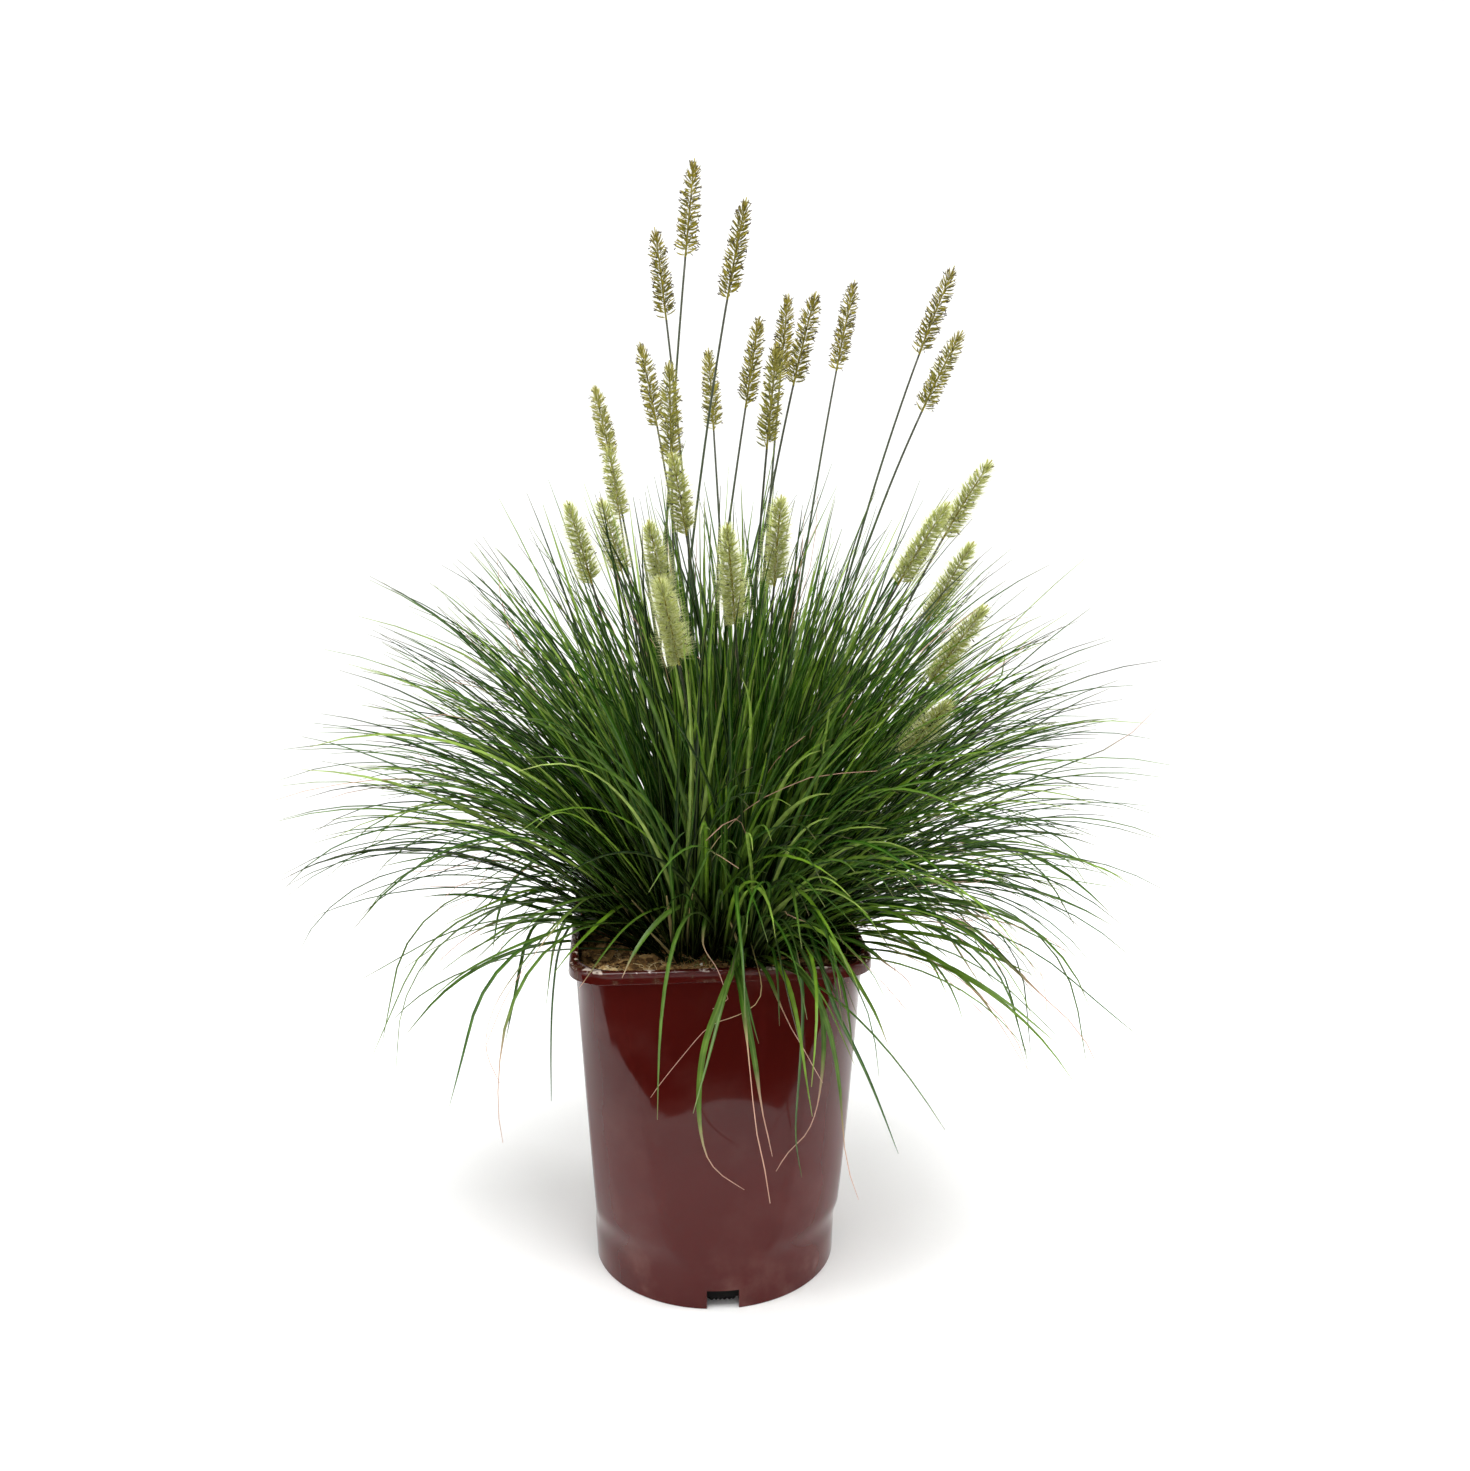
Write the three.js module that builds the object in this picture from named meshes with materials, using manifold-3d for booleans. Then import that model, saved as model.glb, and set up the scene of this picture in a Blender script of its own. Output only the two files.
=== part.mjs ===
// Potted fountain grass: a square-topped nursery pot, its potting mix, leafy
// shoots with flowering stems, and a bottlebrush flower head on each stem.
// Millimetres, +Z up. The origin is on the pot's axis, at the floor.

import * as THREE from "three";
import { mergeVertices } from "three/addons/utils/BufferGeometryUtils.js";
import Module from "manifold-3d";

const wasm = await Module();
wasm.setup();

// Gap between solids that touch on the real plant.
const GAP = 0.3;

// Pot: a rounded square at the lip that becomes round at the foot. The panels
// lie panelFoot from the axis where they start, and bodyHalfWidth under the lip.
// The round wall between them swells quickly over the foot, then evenly.
const POT = {
  height: 250,
  lipHalfWidth: 100,
  lipHeight: 8.5,
  bodyHalfWidth: 96,
  bodyCorner: 32,
  panelFoot: 84.5,
  panelStarts: [0, 7, 16, 36, 85],
  footRadius: 87.5,
  footTaper: 0.6,
  footBand: 21,
  swell: 4,
  swellPace: 8,
  wall: 2,
  footRing: 3,
  floorBottom: 5,
  floorTop: 7.5,
  notchWidth: 22,
  notchHeight: 14,
  arcSteps: 4,
};

// The lip in section, from its lower outer edge over the top to its inner edge:
// how far each point stands in, the corner it runs round, and its rise.
const LIP_SECTION = [
  { inset: 0.6, corner: 25.4, rise: 0.2 },
  { inset: 0, corner: 26, rise: 2 },
  { inset: 0.3, corner: 26, rise: 6.3 },
  { inset: 2.4, corner: 24, rise: 8.5 },
];
const LIP_BEVEL = 0.6;

// Potting mix: it fills the pot to a little under the lip.
const SOIL = {
  top: 239,
  crown: 4,
  roughness: 1.6,
  rings: 4,
};

// The crown is the clump of shoots at the soil, a little off the pot's axis.
const CROWN = { x: 10, y: 2, radius: 60 };

const SHOOT = {
  count: 27,
  sheathRadius: 5.2,
  neckRadius: 4.4,
  sides: 6,
  depth: 16,
  rise: 12,
  leaves: 7,
};

const LEAF = {
  length: [262, 345],
  fallenLength: [180, 275],
  fallen: 2,
  fallenInFront: 1,
  width: [3.4, 4.6],
  baseWidth: 1.6,
  tipWidth: 0.9,
  thickness: 1.0,
  steps: 5,
  rootRadius: 3.0,
};

const CULM = { baseRadius: 1.1, tipRadius: 0.8, steps: 5 };

const HEAD = {
  coreRadius: 3.2,
  spikeReach: 10.5,
  spikeLift: 5.5,
  around: 8,
  along: 12,
};

// Seed of all random draws. This one leaves every leaf clear of the others and
// the longest leaves even on all four sides.
const SEED = 19;

// Slivers smaller than this, left by joining leaves to a sheath, are closed up.
const SIMPLIFY = 0.08;

// Furthest that a leaf reaches from the pot's axis, along X and along Y.
const SPREAD = 288;

// Clear distance kept between pieces of different shoots.
const CLEARANCE = 0.45;

// Flower heads: where each tip stands, from the pot's axis, and how long the
// spike is.
const FLOWERS = [
  { x: -10, y: 10, z: 760, spike: 62 },
  { x: 20, y: -30, z: 730, spike: 62 },
  { x: -35, y: 60, z: 725, spike: 62 },
  { x: 65, y: -25, z: 675, spike: 60 },
  { x: 60, y: 85, z: 685, spike: 62 },
  { x: 35, y: 35, z: 665, spike: 62 },
  { x: 35, y: -75, z: 640, spike: 66 },
  { x: 5, y: 120, z: 650, spike: 62 },
  { x: -30, y: -60, z: 630, spike: 64 },
  { x: -45, y: 135, z: 655, spike: 66 },
  { x: 115, y: 130, z: 700, spike: 70 },
  { x: 170, y: 45, z: 700, spike: 64 },
  { x: 170, y: 15, z: 655, spike: 60 },
  { x: 180, y: -35, z: 570, spike: 60 },
  { x: 140, y: -90, z: 545, spike: 62 },
  { x: 180, y: 5, z: 515, spike: 64 },
  { x: 170, y: -75, z: 480, spike: 66 },
  { x: 140, y: -110, z: 425, spike: 52 },
  { x: 0, y: -130, z: 535, spike: 68 },
  { x: 35, y: -100, z: 550, spike: 60 },
  { x: -45, y: -95, z: 535, spike: 60 },
  { x: -40, y: -145, z: 505, spike: 64 },
  { x: -30, y: -85, z: 575, spike: 54 },
  { x: -95, y: -45, z: 545, spike: 56 },
  { x: -75, y: 5, z: 545, spike: 54 },
  { x: -70, y: 115, z: 580, spike: 58 },
  { x: -80, y: 165, z: 625, spike: 62 },
];

const COLOURS = {
  pot: { color: 0x5a1418, roughness: 0.25, metalness: 0 },
  soil: { color: 0x3a2718, roughness: 1.0, metalness: 0 },
  leaf: { color: 0x3f7426, roughness: 0.55, metalness: 0 },
  flower: { color: 0xc2bf7a, roughness: 0.8, metalness: 0 },
};

// Seeded random numbers from 0 to 1, alike on every run.
function seededRandom(seed) {
  let state = seed >>> 0;
  return function next() {
    state = (state + 0x6d2b79f5) >>> 0;
    let t = state;
    t = Math.imul(t ^ (t >>> 15), t | 1);
    t ^= t + Math.imul(t ^ (t >>> 7), t | 61);
    return ((t ^ (t >>> 14)) >>> 0) / 4294967296;
  };
}

function mix(a, b, t) {
  return a + (b - a) * t;
}

function add(p, q, scale = 1) {
  return [p[0] + q[0] * scale, p[1] + q[1] * scale, p[2] + q[2] * scale];
}

function sub(p, q) {
  return [p[0] - q[0], p[1] - q[1], p[2] - q[2]];
}

function dot(p, q) {
  return p[0] * q[0] + p[1] * q[1] + p[2] * q[2];
}

function cross(p, q) {
  return [
    p[1] * q[2] - p[2] * q[1],
    p[2] * q[0] - p[0] * q[2],
    p[0] * q[1] - p[1] * q[0],
  ];
}

function unit(p) {
  const size = Math.sqrt(dot(p, p));
  return [p[0] / size, p[1] / size, p[2] / size];
}

// Solids: rings of points joined into a skin, closed at both ends.

function loft(rings) {
  const count = rings[0].length;
  const points = rings.flat();
  const faces = [];
  for (let k = 0; k + 1 < rings.length; k += 1) {
    for (let i = 0; i < count; i += 1) {
      const a = k * count + i;
      const b = k * count + ((i + 1) % count);
      const downhill = rings[k][i][2] > rings[k + 1][i][2];
      if (downhill) {
        faces.push([a, b, a + count], [b, b + count, a + count]);
      } else {
        faces.push([a, b, b + count], [a, b + count, a + count]);
      }
    }
  }
  return { points, faces, count };
}

function fan(skin, ring, flip, centre) {
  const start = ring * skin.count;
  const middle = skin.points.push(centre) - 1;
  for (let i = 0; i < skin.count; i += 1) {
    const a = start + i;
    const b = start + ((i + 1) % skin.count);
    skin.faces.push(flip ? [a, middle, b] : [a, b, middle]);
  }
}

// Closes an end with triangles from its first point, for ends with few sides.
function cap(skin, ring, flip) {
  const start = ring * skin.count;
  for (let i = 1; i + 1 < skin.count; i += 1) {
    const a = start + i;
    skin.faces.push(flip ? [start, a + 1, a] : [start, a, a + 1]);
  }
}

function solid(skin) {
  const mesh = new wasm.Mesh({
    numProp: 3,
    vertProperties: Float32Array.from(skin.points.flat()),
    triVerts: Uint32Array.from(skin.faces.flat()),
  });
  return new wasm.Manifold(mesh);
}

function geometryOf(skin) {
  const geometry = new THREE.BufferGeometry();
  const values = Float32Array.from(skin.points.flat());
  geometry.setAttribute("position", new THREE.BufferAttribute(values, 3));
  geometry.setIndex(skin.faces.flat());
  return geometry;
}

function geometryOfSolid(body) {
  const mesh = body.getMesh();
  const geometry = new THREE.BufferGeometry();
  geometry.setAttribute("position", new THREE.BufferAttribute(mesh.vertProperties, 3));
  geometry.setIndex(new THREE.BufferAttribute(mesh.triVerts, 1));
  return mergeVertices(geometry, 1e-3);
}

// Pot

// One level of the pot: four sides at this distance from the axis, joined by
// arcs of a circle whose centre lies as far out along X as along Y.
function potRing(side, centre, radius, start, z) {
  const ring = [];
  for (let quarter = 0; quarter < 4; quarter += 1) {
    const turn = (quarter * Math.PI) / 2;
    const local = [[side, 0]];
    for (let k = 0; k <= POT.arcSteps; k += 1) {
      const angle = mix(start, Math.PI / 2 - start, k / POT.arcSteps);
      local.push([centre + radius * Math.cos(angle), centre + radius * Math.sin(angle)]);
    }
    for (const [x, y] of local) {
      ring.push([
        x * Math.cos(turn) - y * Math.sin(turn),
        x * Math.sin(turn) + y * Math.cos(turn),
        z,
      ]);
    }
  }
  return ring;
}

// On a full circle the arcs would meet in the middle of the panels, so they are
// drawn a little shorter there.
const CIRCLE_START = Math.PI / 2 / (POT.arcSteps + 2);

function circleRing(radius, z) {
  return potRing(radius, 0, radius, CIRCLE_START, z);
}

function squareRing(halfWidth, corner, z) {
  return potRing(halfWidth, halfWidth - corner, corner, 0, z);
}

// The wall at a height: a round cone that four flat panels cut. Low down the
// panels end in an arc, and towards the lip the edges beside them are rounded.
// The inner wall follows the outer one a little lower, to keep its thickness.
function wallAt(z, inset = 0) {
  const rise = z + inset - POT.footBand;
  const t = Math.min(Math.max(rise / (POT.height - POT.lipHeight - POT.footBand), 0), 1);
  const square = Math.hypot(POT.bodyHalfWidth, POT.bodyHalfWidth - POT.bodyCorner);
  const swell = POT.swell * (1 - Math.exp(-POT.swellPace * t));
  const round = mix(POT.footRadius, square - POT.swell, t) + swell;
  const panel = mix(POT.panelFoot, POT.bodyHalfWidth, t);
  const flat = Math.sqrt(round ** 2 - panel ** 2);
  const centre = flat * t ** 2;
  return {
    isFoot: rise <= 0,
    half: panel - inset,
    centre,
    radius: Math.hypot(panel - centre, flat - centre) - inset,
    start: Math.atan2(flat - centre, panel - centre),
  };
}

function wallRing(z, inset = 0) {
  const level = wallAt(z, inset);
  if (level.isFoot) {
    return circleRing(POT.footRadius - POT.footTaper * (1 - z / POT.footBand) - inset, z);
  }
  return potRing(level.half, level.centre, level.radius, level.start, z);
}

// The rings of the wall, from the foot band to where the panels run straight.
function panelRings(inset = 0) {
  return POT.panelStarts.map((rise) => wallRing(POT.footBand + rise - inset, inset));
}

function potMesh() {
  const lipBottom = POT.height - POT.lipHeight;
  const inner = POT.bodyHalfWidth - POT.wall;
  const innerCorner = POT.bodyCorner - POT.wall;
  const rings = [
    circleRing(POT.footRadius - POT.footRing, POT.floorBottom),
    circleRing(POT.footRadius - POT.footRing, 0),
    wallRing(0),
    ...panelRings(),
    wallRing(lipBottom),
    ...LIP_SECTION.map(({ inset, corner, rise }) => (
      squareRing(POT.lipHalfWidth - inset, corner, lipBottom + rise)
    )),
    squareRing(inner + LIP_BEVEL, innerCorner + LIP_BEVEL, POT.height - LIP_BEVEL),
    wallRing(lipBottom, POT.wall),
    ...panelRings(POT.wall).reverse(),
    wallRing(POT.floorTop, POT.wall),
  ];
  const skin = loft(rings);
  fan(skin, 0, true, [0, 0, POT.floorBottom]);
  fan(skin, rings.length - 1, false, [0, 0, POT.floorTop]);
  let body = solid(skin);
  for (let side = 0; side < 4; side += 1) {
    body = body.subtract(notchCutter((side * Math.PI) / 2));
  }
  return geometryOfSolid(body);
}

// A drain notch goes through the foot ring and into the pot over its floor.
function notchCutter(turn) {
  const depth = 16;
  const box = new THREE.BoxGeometry(depth, POT.notchWidth, POT.notchHeight * 2);
  box.translate(POT.footRadius - depth / 2 + 6, 0, 0);
  box.rotateZ(turn);
  box.deleteAttribute("normal");
  box.deleteAttribute("uv");
  const merged = mergeVertices(box);
  const points = merged.attributes.position.array;
  return new wasm.Manifold(new wasm.Mesh({
    numProp: 3,
    vertProperties: Float32Array.from(points),
    triVerts: Uint32Array.from(merged.index.array),
  }));
}

// Places of the shoots: the spiral of a daisy fills the crown evenly.
function shootPlaces() {
  const golden = Math.PI * (3 - Math.sqrt(5));
  const places = [];
  for (let i = 0; i < SHOOT.count; i += 1) {
    const share = Math.sqrt((i + 0.5) / SHOOT.count);
    places.push({
      x: CROWN.x + CROWN.radius * share * Math.cos(i * golden),
      y: CROWN.y + CROWN.radius * share * Math.sin(i * golden),
      free: true,
    });
  }
  return places;
}

// Height of the potting mix at a point.
function soilHeight(x, y) {
  const far = Math.hypot(x - CROWN.x, y - CROWN.y) / POT.bodyHalfWidth;
  const swell = SOIL.crown * Math.exp(-far * far * 2.5);
  const ripple = Math.sin(x * 0.11 + 1) * Math.cos(y * 0.13) + 0.6 * Math.sin(y * 0.21 - x * 0.07);
  return SOIL.top - SOIL.crown + swell + SOIL.roughness * ripple;
}

function soilMesh(places) {
  const edge = POT.wall + GAP;
  const bottom = POT.floorTop + GAP;
  const rings = [wallRing(bottom, edge), ...panelRings(edge)];
  const rim = wallAt(SOIL.top - SOIL.crown, edge);
  for (let k = 0; k < SOIL.rings; k += 1) {
    const share = 1 - (k / SOIL.rings) ** 1.1;
    const ring = squareRing(rim.half * share, (rim.half - rim.centre) * share, 0);
    rings.push(ring.map(([x, y]) => [x, y, soilHeight(x, y)]));
  }
  const skin = loft(rings);
  fan(skin, 0, true, [0, 0, bottom]);
  fan(skin, rings.length - 1, false, [0, 0, soilHeight(0, 0)]);
  let body = solid(skin);
  for (const place of places) {
    const top = soilHeight(place.x, place.y);
    const radius = SHOOT.sheathRadius + GAP;
    const low = top - SHOOT.depth - GAP;
    const hole = loft([round(place, radius, low), round(place, radius, top + 20)]);
    cap(hole, 0, true);
    cap(hole, 1, false);
    body = body.subtract(solid(hole));
  }
  return geometryOfSolid(body);
}

function round(place, radius, z) {
  const ring = [];
  for (let i = 0; i < SHOOT.sides; i += 1) {
    const angle = (i / SHOOT.sides) * 2 * Math.PI;
    ring.push([place.x + radius * Math.cos(angle), place.y + radius * Math.sin(angle), z]);
  }
  return ring;
}

// Paths: a centre line with a radius at each point, used to keep pieces clear.

function segmentGap(a, b, c, d) {
  const u = sub(b, a);
  const v = sub(d, c);
  const w = sub(a, c);
  const uu = dot(u, u);
  const uv = dot(u, v);
  const vv = dot(v, v);
  const uw = dot(u, w);
  const vw = dot(v, w);
  const den = uu * vv - uv * uv;
  let s = den > 1e-9 ? Math.min(Math.max((uv * vw - vv * uw) / den, 0), 1) : 0;
  const t = Math.min(Math.max((uv * s + vw) / vv, 0), 1);
  s = Math.min(Math.max((uv * t - uw) / uu, 0), 1);
  const gap = add(add(w, u, s), v, -t);
  return Math.sqrt(dot(gap, gap));
}

function boxOf(points, radii) {
  const low = [Infinity, Infinity, Infinity];
  const high = [-Infinity, -Infinity, -Infinity];
  for (let i = 0; i < points.length; i += 1) {
    for (let k = 0; k < 3; k += 1) {
      low[k] = Math.min(low[k], points[i][k] - radii[i]);
      high[k] = Math.max(high[k], points[i][k] + radii[i]);
    }
  }
  return { low, high };
}

function boxesMeet(a, b, margin) {
  for (let k = 0; k < 3; k += 1) {
    if (a.low[k] > b.high[k] + margin || b.low[k] > a.high[k] + margin) {
      return false;
    }
  }
  return true;
}

function strand(points, radii, shoot, from = 0) {
  return { points, radii, shoot, from, box: boxOf(points, radii) };
}

// Smallest free distance between two strands, less than zero if they meet.
function strandGap(a, b, startA, startB) {
  let least = Infinity;
  for (let i = startA; i + 1 < a.points.length; i += 1) {
    for (let j = startB; j + 1 < b.points.length; j += 1) {
      const reach = Math.max(a.radii[i], a.radii[i + 1]) + Math.max(b.radii[j], b.radii[j + 1]);
      const gap = segmentGap(a.points[i], a.points[i + 1], b.points[j], b.points[j + 1]) - reach;
      least = Math.min(least, gap);
    }
  }
  return least;
}

function isClear(candidate, placed) {
  for (const other of placed) {
    if (!boxesMeet(candidate.box, other.box, CLEARANCE)) {
      continue;
    }
    const own = candidate.shoot === other.shoot;
    const start = own ? Math.max(candidate.from, other.from) : 0;
    if (strandGap(candidate, other, start, start) < CLEARANCE) {
      return false;
    }
  }
  return true;
}

// Leaves also stay off the potting mix, off the lip and wall of the pot, and
// within the spread of the plant. Each straight stretch is tested in steps.
function clearsPot(points, radii) {
  const tests = 6;
  for (let i = 0; i + 1 < points.length; i += 1) {
    for (let k = i === 0 ? 2 : 0; k <= tests; k += 1) {
      const at = add(points[i], sub(points[i + 1], points[i]), k / tests);
      if (!pointClearsPot(at, radii[i + 1])) {
        return false;
      }
    }
  }
  return true;
}

function pointClearsPot([x, y, z], radius) {
  const far = Math.max(Math.abs(x), Math.abs(y));
  const outside = POT.lipHalfWidth + LEAF.thickness + radius;
  const overWall = far > POT.bodyHalfWidth - POT.wall - LEAF.thickness - radius;
  const floor = overWall ? POT.height : soilHeight(x, y);
  if (far < outside && z < floor + LEAF.thickness + radius) {
    return false;
  }
  return far + radius < SPREAD;
}

// Flowering stems: a curve from the shoot to the tip of its head.

function stemCurve(root, flower, lean, sway) {
  const knee = {
    x: mix(root[0], flower.x, lean) + sway[0],
    y: mix(root[1], flower.y, lean) + sway[1],
    z: mix(root[2], flower.z, 0.62),
  };
  return new THREE.QuadraticBezierCurve3(
    new THREE.Vector3(...root),
    new THREE.Vector3(knee.x, knee.y, knee.z),
    new THREE.Vector3(flower.x, flower.y, flower.z),
  );
}

function pointsAlong(curve, from, to, steps) {
  const points = [];
  for (let i = 0; i <= steps; i += 1) {
    points.push(curve.getPointAt(mix(from, to, i / steps)).toArray());
  }
  return points;
}

// Gives each flower the free shoot that lies nearest under it, the widest first.
function assignFlowers(places) {
  const order = FLOWERS.map((flower, index) => ({ flower, index }));
  order.sort((a, b) => spread(b.flower) - spread(a.flower));
  for (const { flower, index } of order) {
    let best = null;
    for (const place of places) {
      const dx = CROWN.x + (flower.x - CROWN.x) * 0.36 - place.x;
      const dy = CROWN.y + (flower.y - CROWN.y) * 0.36 - place.y;
      const distance = Math.hypot(dx, dy);
      if (place.free && (best === null || distance < best.distance)) {
        best = { place, distance };
      }
    }
    best.place.free = false;
    best.place.flower = { ...flower, index };
  }
}

function spread(flower) {
  return Math.hypot(flower.x - CROWN.x, flower.y - CROWN.y);
}

function growStems(places, random, placed) {
  for (const [shoot, place] of places.entries()) {
    if (!place.flower) {
      continue;
    }
    const top = soilHeight(place.x, place.y) + SHOOT.rise - 5;
    const root = [place.x, place.y, top];
    for (let attempt = 0; attempt < 200; attempt += 1) {
      const reach = 4 + attempt * 0.25;
      const sway = [(random() - 0.5) * reach, (random() - 0.5) * reach];
      const curve = stemCurve(root, place.flower, mix(0.3, 0.5, random()), sway);
      const length = curve.getLength();
      const neck = 1 - place.flower.spike / length;
      const stem = pointsAlong(curve, 0, neck, CULM.steps * 2);
      const head = pointsAlong(curve, neck, 1, 4);
      const stemRadii = stem.map(() => CULM.baseRadius);
      const headRadii = head.map((_, i) => (i === 0 ? 7 : HEAD.spikeReach + 1));
      const stemStrand = strand(stem, stemRadii, shoot, 1);
      const headStrand = strand(head, headRadii, -1 - shoot);
      if (isClear(stemStrand, placed) && isClear(headStrand, placed)) {
        placed.push(stemStrand, headStrand);
        place.stem = { curve, neck, length };
        break;
      }
    }
    if (!place.stem) {
      throw new Error(`no clear way for the stem of shoot ${shoot}`);
    }
  }
}

// Leaves

// A leaf leaves its sheath at "start" degrees and has turned down by "bend"
// degrees at its tip, early if "settled" is short, as a leaf that has fallen.
function leafPath(root, habit) {
  const points = [root];
  const steps = LEAF.steps * 2;
  let at = root;
  for (let i = 0; i < steps; i += 1) {
    const t = (i + 0.5) / steps;
    const turned = Math.min(t / habit.settled, 1) ** habit.power;
    const pitch = (habit.start - habit.bend * turned) * (Math.PI / 180);
    const heading = habit.azimuth + habit.sweep * t;
    const direction = [
      Math.cos(pitch) * Math.cos(heading),
      Math.cos(pitch) * Math.sin(heading),
      Math.sin(pitch),
    ];
    at = add(at, direction, habit.length / steps);
    if (i % 2 === 1) {
      points.push(at);
    }
  }
  return points;
}

// The further out a root lies in the crown, the more its leaf leans and bends.
function standingHabit(lean, azimuth, random) {
  const far = Math.min(lean, 1.15);
  return {
    azimuth: azimuth + (random() - 0.5) * 0.5,
    start: mix(88, 47, far),
    bend: mix(6, 88, Math.min(far, 1) ** 1.2) * mix(0.8, 1.35, random()),
    power: 1.7,
    settled: 1,
    sweep: (random() - 0.5) * 0.5,
    length: mix(...LEAF.length, random()) * mix(1, 0.9, far),
    width: mix(...LEAF.width, random()),
  };
}

// The outermost leaves bow low over the lip and droop outside the pot.
function fallenHabit(azimuth, random) {
  return {
    azimuth: azimuth + (random() - 0.5) * 0.7,
    start: mix(30, 56, random()),
    bend: mix(78, 132, random()),
    power: 1.2,
    settled: mix(0.6, 1, random()),
    sweep: (random() - 0.5) * 0.8,
    length: mix(...LEAF.fallenLength, random()),
    width: mix(...LEAF.width, random()),
  };
}

// Narrow at the sheath, widest a third of the way up, then a long fine point.
function leafWidth(t, width) {
  if (t < 0.3) {
    return mix(LEAF.baseWidth, width, Math.sin((t / 0.3) * (Math.PI / 2)));
  }
  return mix(width, LEAF.tipWidth, ((t - 0.3) / 0.7) ** 1.6);
}

function growLeaves(places, random, placed) {
  for (let k = 0; k < SHOOT.leaves; k += 1) {
    for (const [shoot, place] of places.entries()) {
      for (let attempt = 0; attempt < 120; attempt += 1) {
        const leaf = tryLeaf(place, shoot, k, random);
        const radii = leaf.points.map((_, i) => leafWidth(i / LEAF.steps, leaf.width) / 2 + 0.1);
        const candidate = strand(leaf.points, radii, shoot, 1);
        if (clearsPot(leaf.points, radii) && isClear(candidate, placed)) {
          placed.push(candidate);
          place.leaves.push(leaf);
          break;
        }
      }
    }
  }
}

function tryLeaf(place, shoot, k, random) {
  const top = soilHeight(place.x, place.y) + SHOOT.rise - 3;
  const outX = (place.x - CROWN.x) / CROWN.radius;
  const outY = (place.y - CROWN.y) / CROWN.radius;
  const most = outY < -0.5 ? LEAF.fallenInFront : LEAF.fallen;
  const fallen = k < most && Math.hypot(outX, outY) > 0.7;
  const outward = Math.atan2(outY, outX);
  const around = ((k + random() * 0.7) / SHOOT.leaves + shoot * 0.381) * 2 * Math.PI;
  const turn = fallen ? outward + (k - 0.5 + random() * 0.3) * 1.1 : around;
  const rootX = Math.cos(turn);
  const rootY = Math.sin(turn);
  const leanX = outX * 0.78 + rootX * mix(0.2, 0.36, random());
  const leanY = outY * 0.78 + rootY * mix(0.2, 0.36, random());
  const azimuth = Math.atan2(leanY, leanX);
  const lean = Math.hypot(leanX, leanY);
  const habit = fallen ? fallenHabit(azimuth, random) : standingHabit(lean, azimuth, random);
  const root = [place.x + rootX * LEAF.rootRadius, place.y + rootY * LEAF.rootRadius, top];
  return { points: leafPath(root, habit), width: habit.width };
}

// A leaf is a long thin wedge: flat above, with a keel below.
function leafSolid(leaf) {
  const rings = [];
  const last = leaf.points.length - 1;
  for (let i = 0; i < last; i += 1) {
    const t = i / last;
    const before = leaf.points[Math.max(i - 1, 0)];
    const after = leaf.points[Math.min(i + 1, last)];
    const along = unit(sub(after, before));
    const flatSide = Math.hypot(along[0], along[1]);
    const side = flatSide > 0.02 ? [-along[1] / flatSide, along[0] / flatSide, 0] : [0, 1, 0];
    const below = cross(along, side);
    const half = leafWidth(t, leaf.width) / 2;
    const keel = mix(LEAF.thickness, LEAF.thickness * 0.7, t);
    const centre = leaf.points[i];
    rings.push([
      add(centre, side, half),
      add(centre, side, -half),
      add(centre, below, -keel),
    ]);
  }
  const skin = loft(rings);
  cap(skin, 0, true);
  const start = (rings.length - 1) * 3;
  const tip = skin.points.push(leaf.points[last]) - 1;
  for (let i = 0; i < 3; i += 1) {
    skin.faces.push([start + i, start + ((i + 1) % 3), tip]);
  }
  return orient(solid(skin), skin);
}

// Turns a solid right side out where its rings ran the other way.
function orient(body, skin) {
  if (body.volume() > 0) {
    return body;
  }
  const flipped = { points: skin.points, faces: skin.faces.map(([a, b, c]) => [a, c, b]) };
  return solid(flipped);
}

// A round rod along a list of points, with a radius at each.
function rodSkin(points, radii, sides) {
  const rings = [];
  let side = [1, 0, 0];
  for (let i = 0; i < points.length; i += 1) {
    const before = points[Math.max(i - 1, 0)];
    const after = points[Math.min(i + 1, points.length - 1)];
    const along = unit(sub(after, before));
    side = unit(add(side, along, -dot(side, along)));
    const other = cross(along, side);
    const ring = [];
    for (let k = 0; k < sides; k += 1) {
      const angle = (k / sides) * 2 * Math.PI;
      const out = add(add([0, 0, 0], side, Math.cos(angle)), other, Math.sin(angle));
      ring.push(add(points[i], out, radii[i]));
    }
    rings.push(ring);
  }
  return loft(rings);
}

function sheathSolid(place) {
  const top = soilHeight(place.x, place.y);
  const skin = loft([
    round(place, SHOOT.sheathRadius, top - SHOOT.depth),
    round(place, SHOOT.sheathRadius, top + SHOOT.rise * 0.4),
    round(place, SHOOT.neckRadius, top + SHOOT.rise),
  ]);
  cap(skin, 0, true);
  cap(skin, 2, false);
  return solid(skin);
}

function shootMesh(place) {
  let body = sheathSolid(place);
  if (place.stem) {
    const end = place.stem.neck - GAP / place.stem.length;
    const points = pointsAlong(place.stem.curve, 0, end, CULM.steps);
    const radii = points.map((_, i) => mix(CULM.baseRadius, CULM.tipRadius, i / CULM.steps));
    const skin = rodSkin(points, radii, 4);
    cap(skin, 0, true);
    cap(skin, points.length - 1, false);
    body = body.add(solid(skin));
  }
  for (const leaf of place.leaves) {
    body = body.add(leafSolid(leaf));
  }
  return geometryOfSolid(body.simplify(SIMPLIFY));
}

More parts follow.
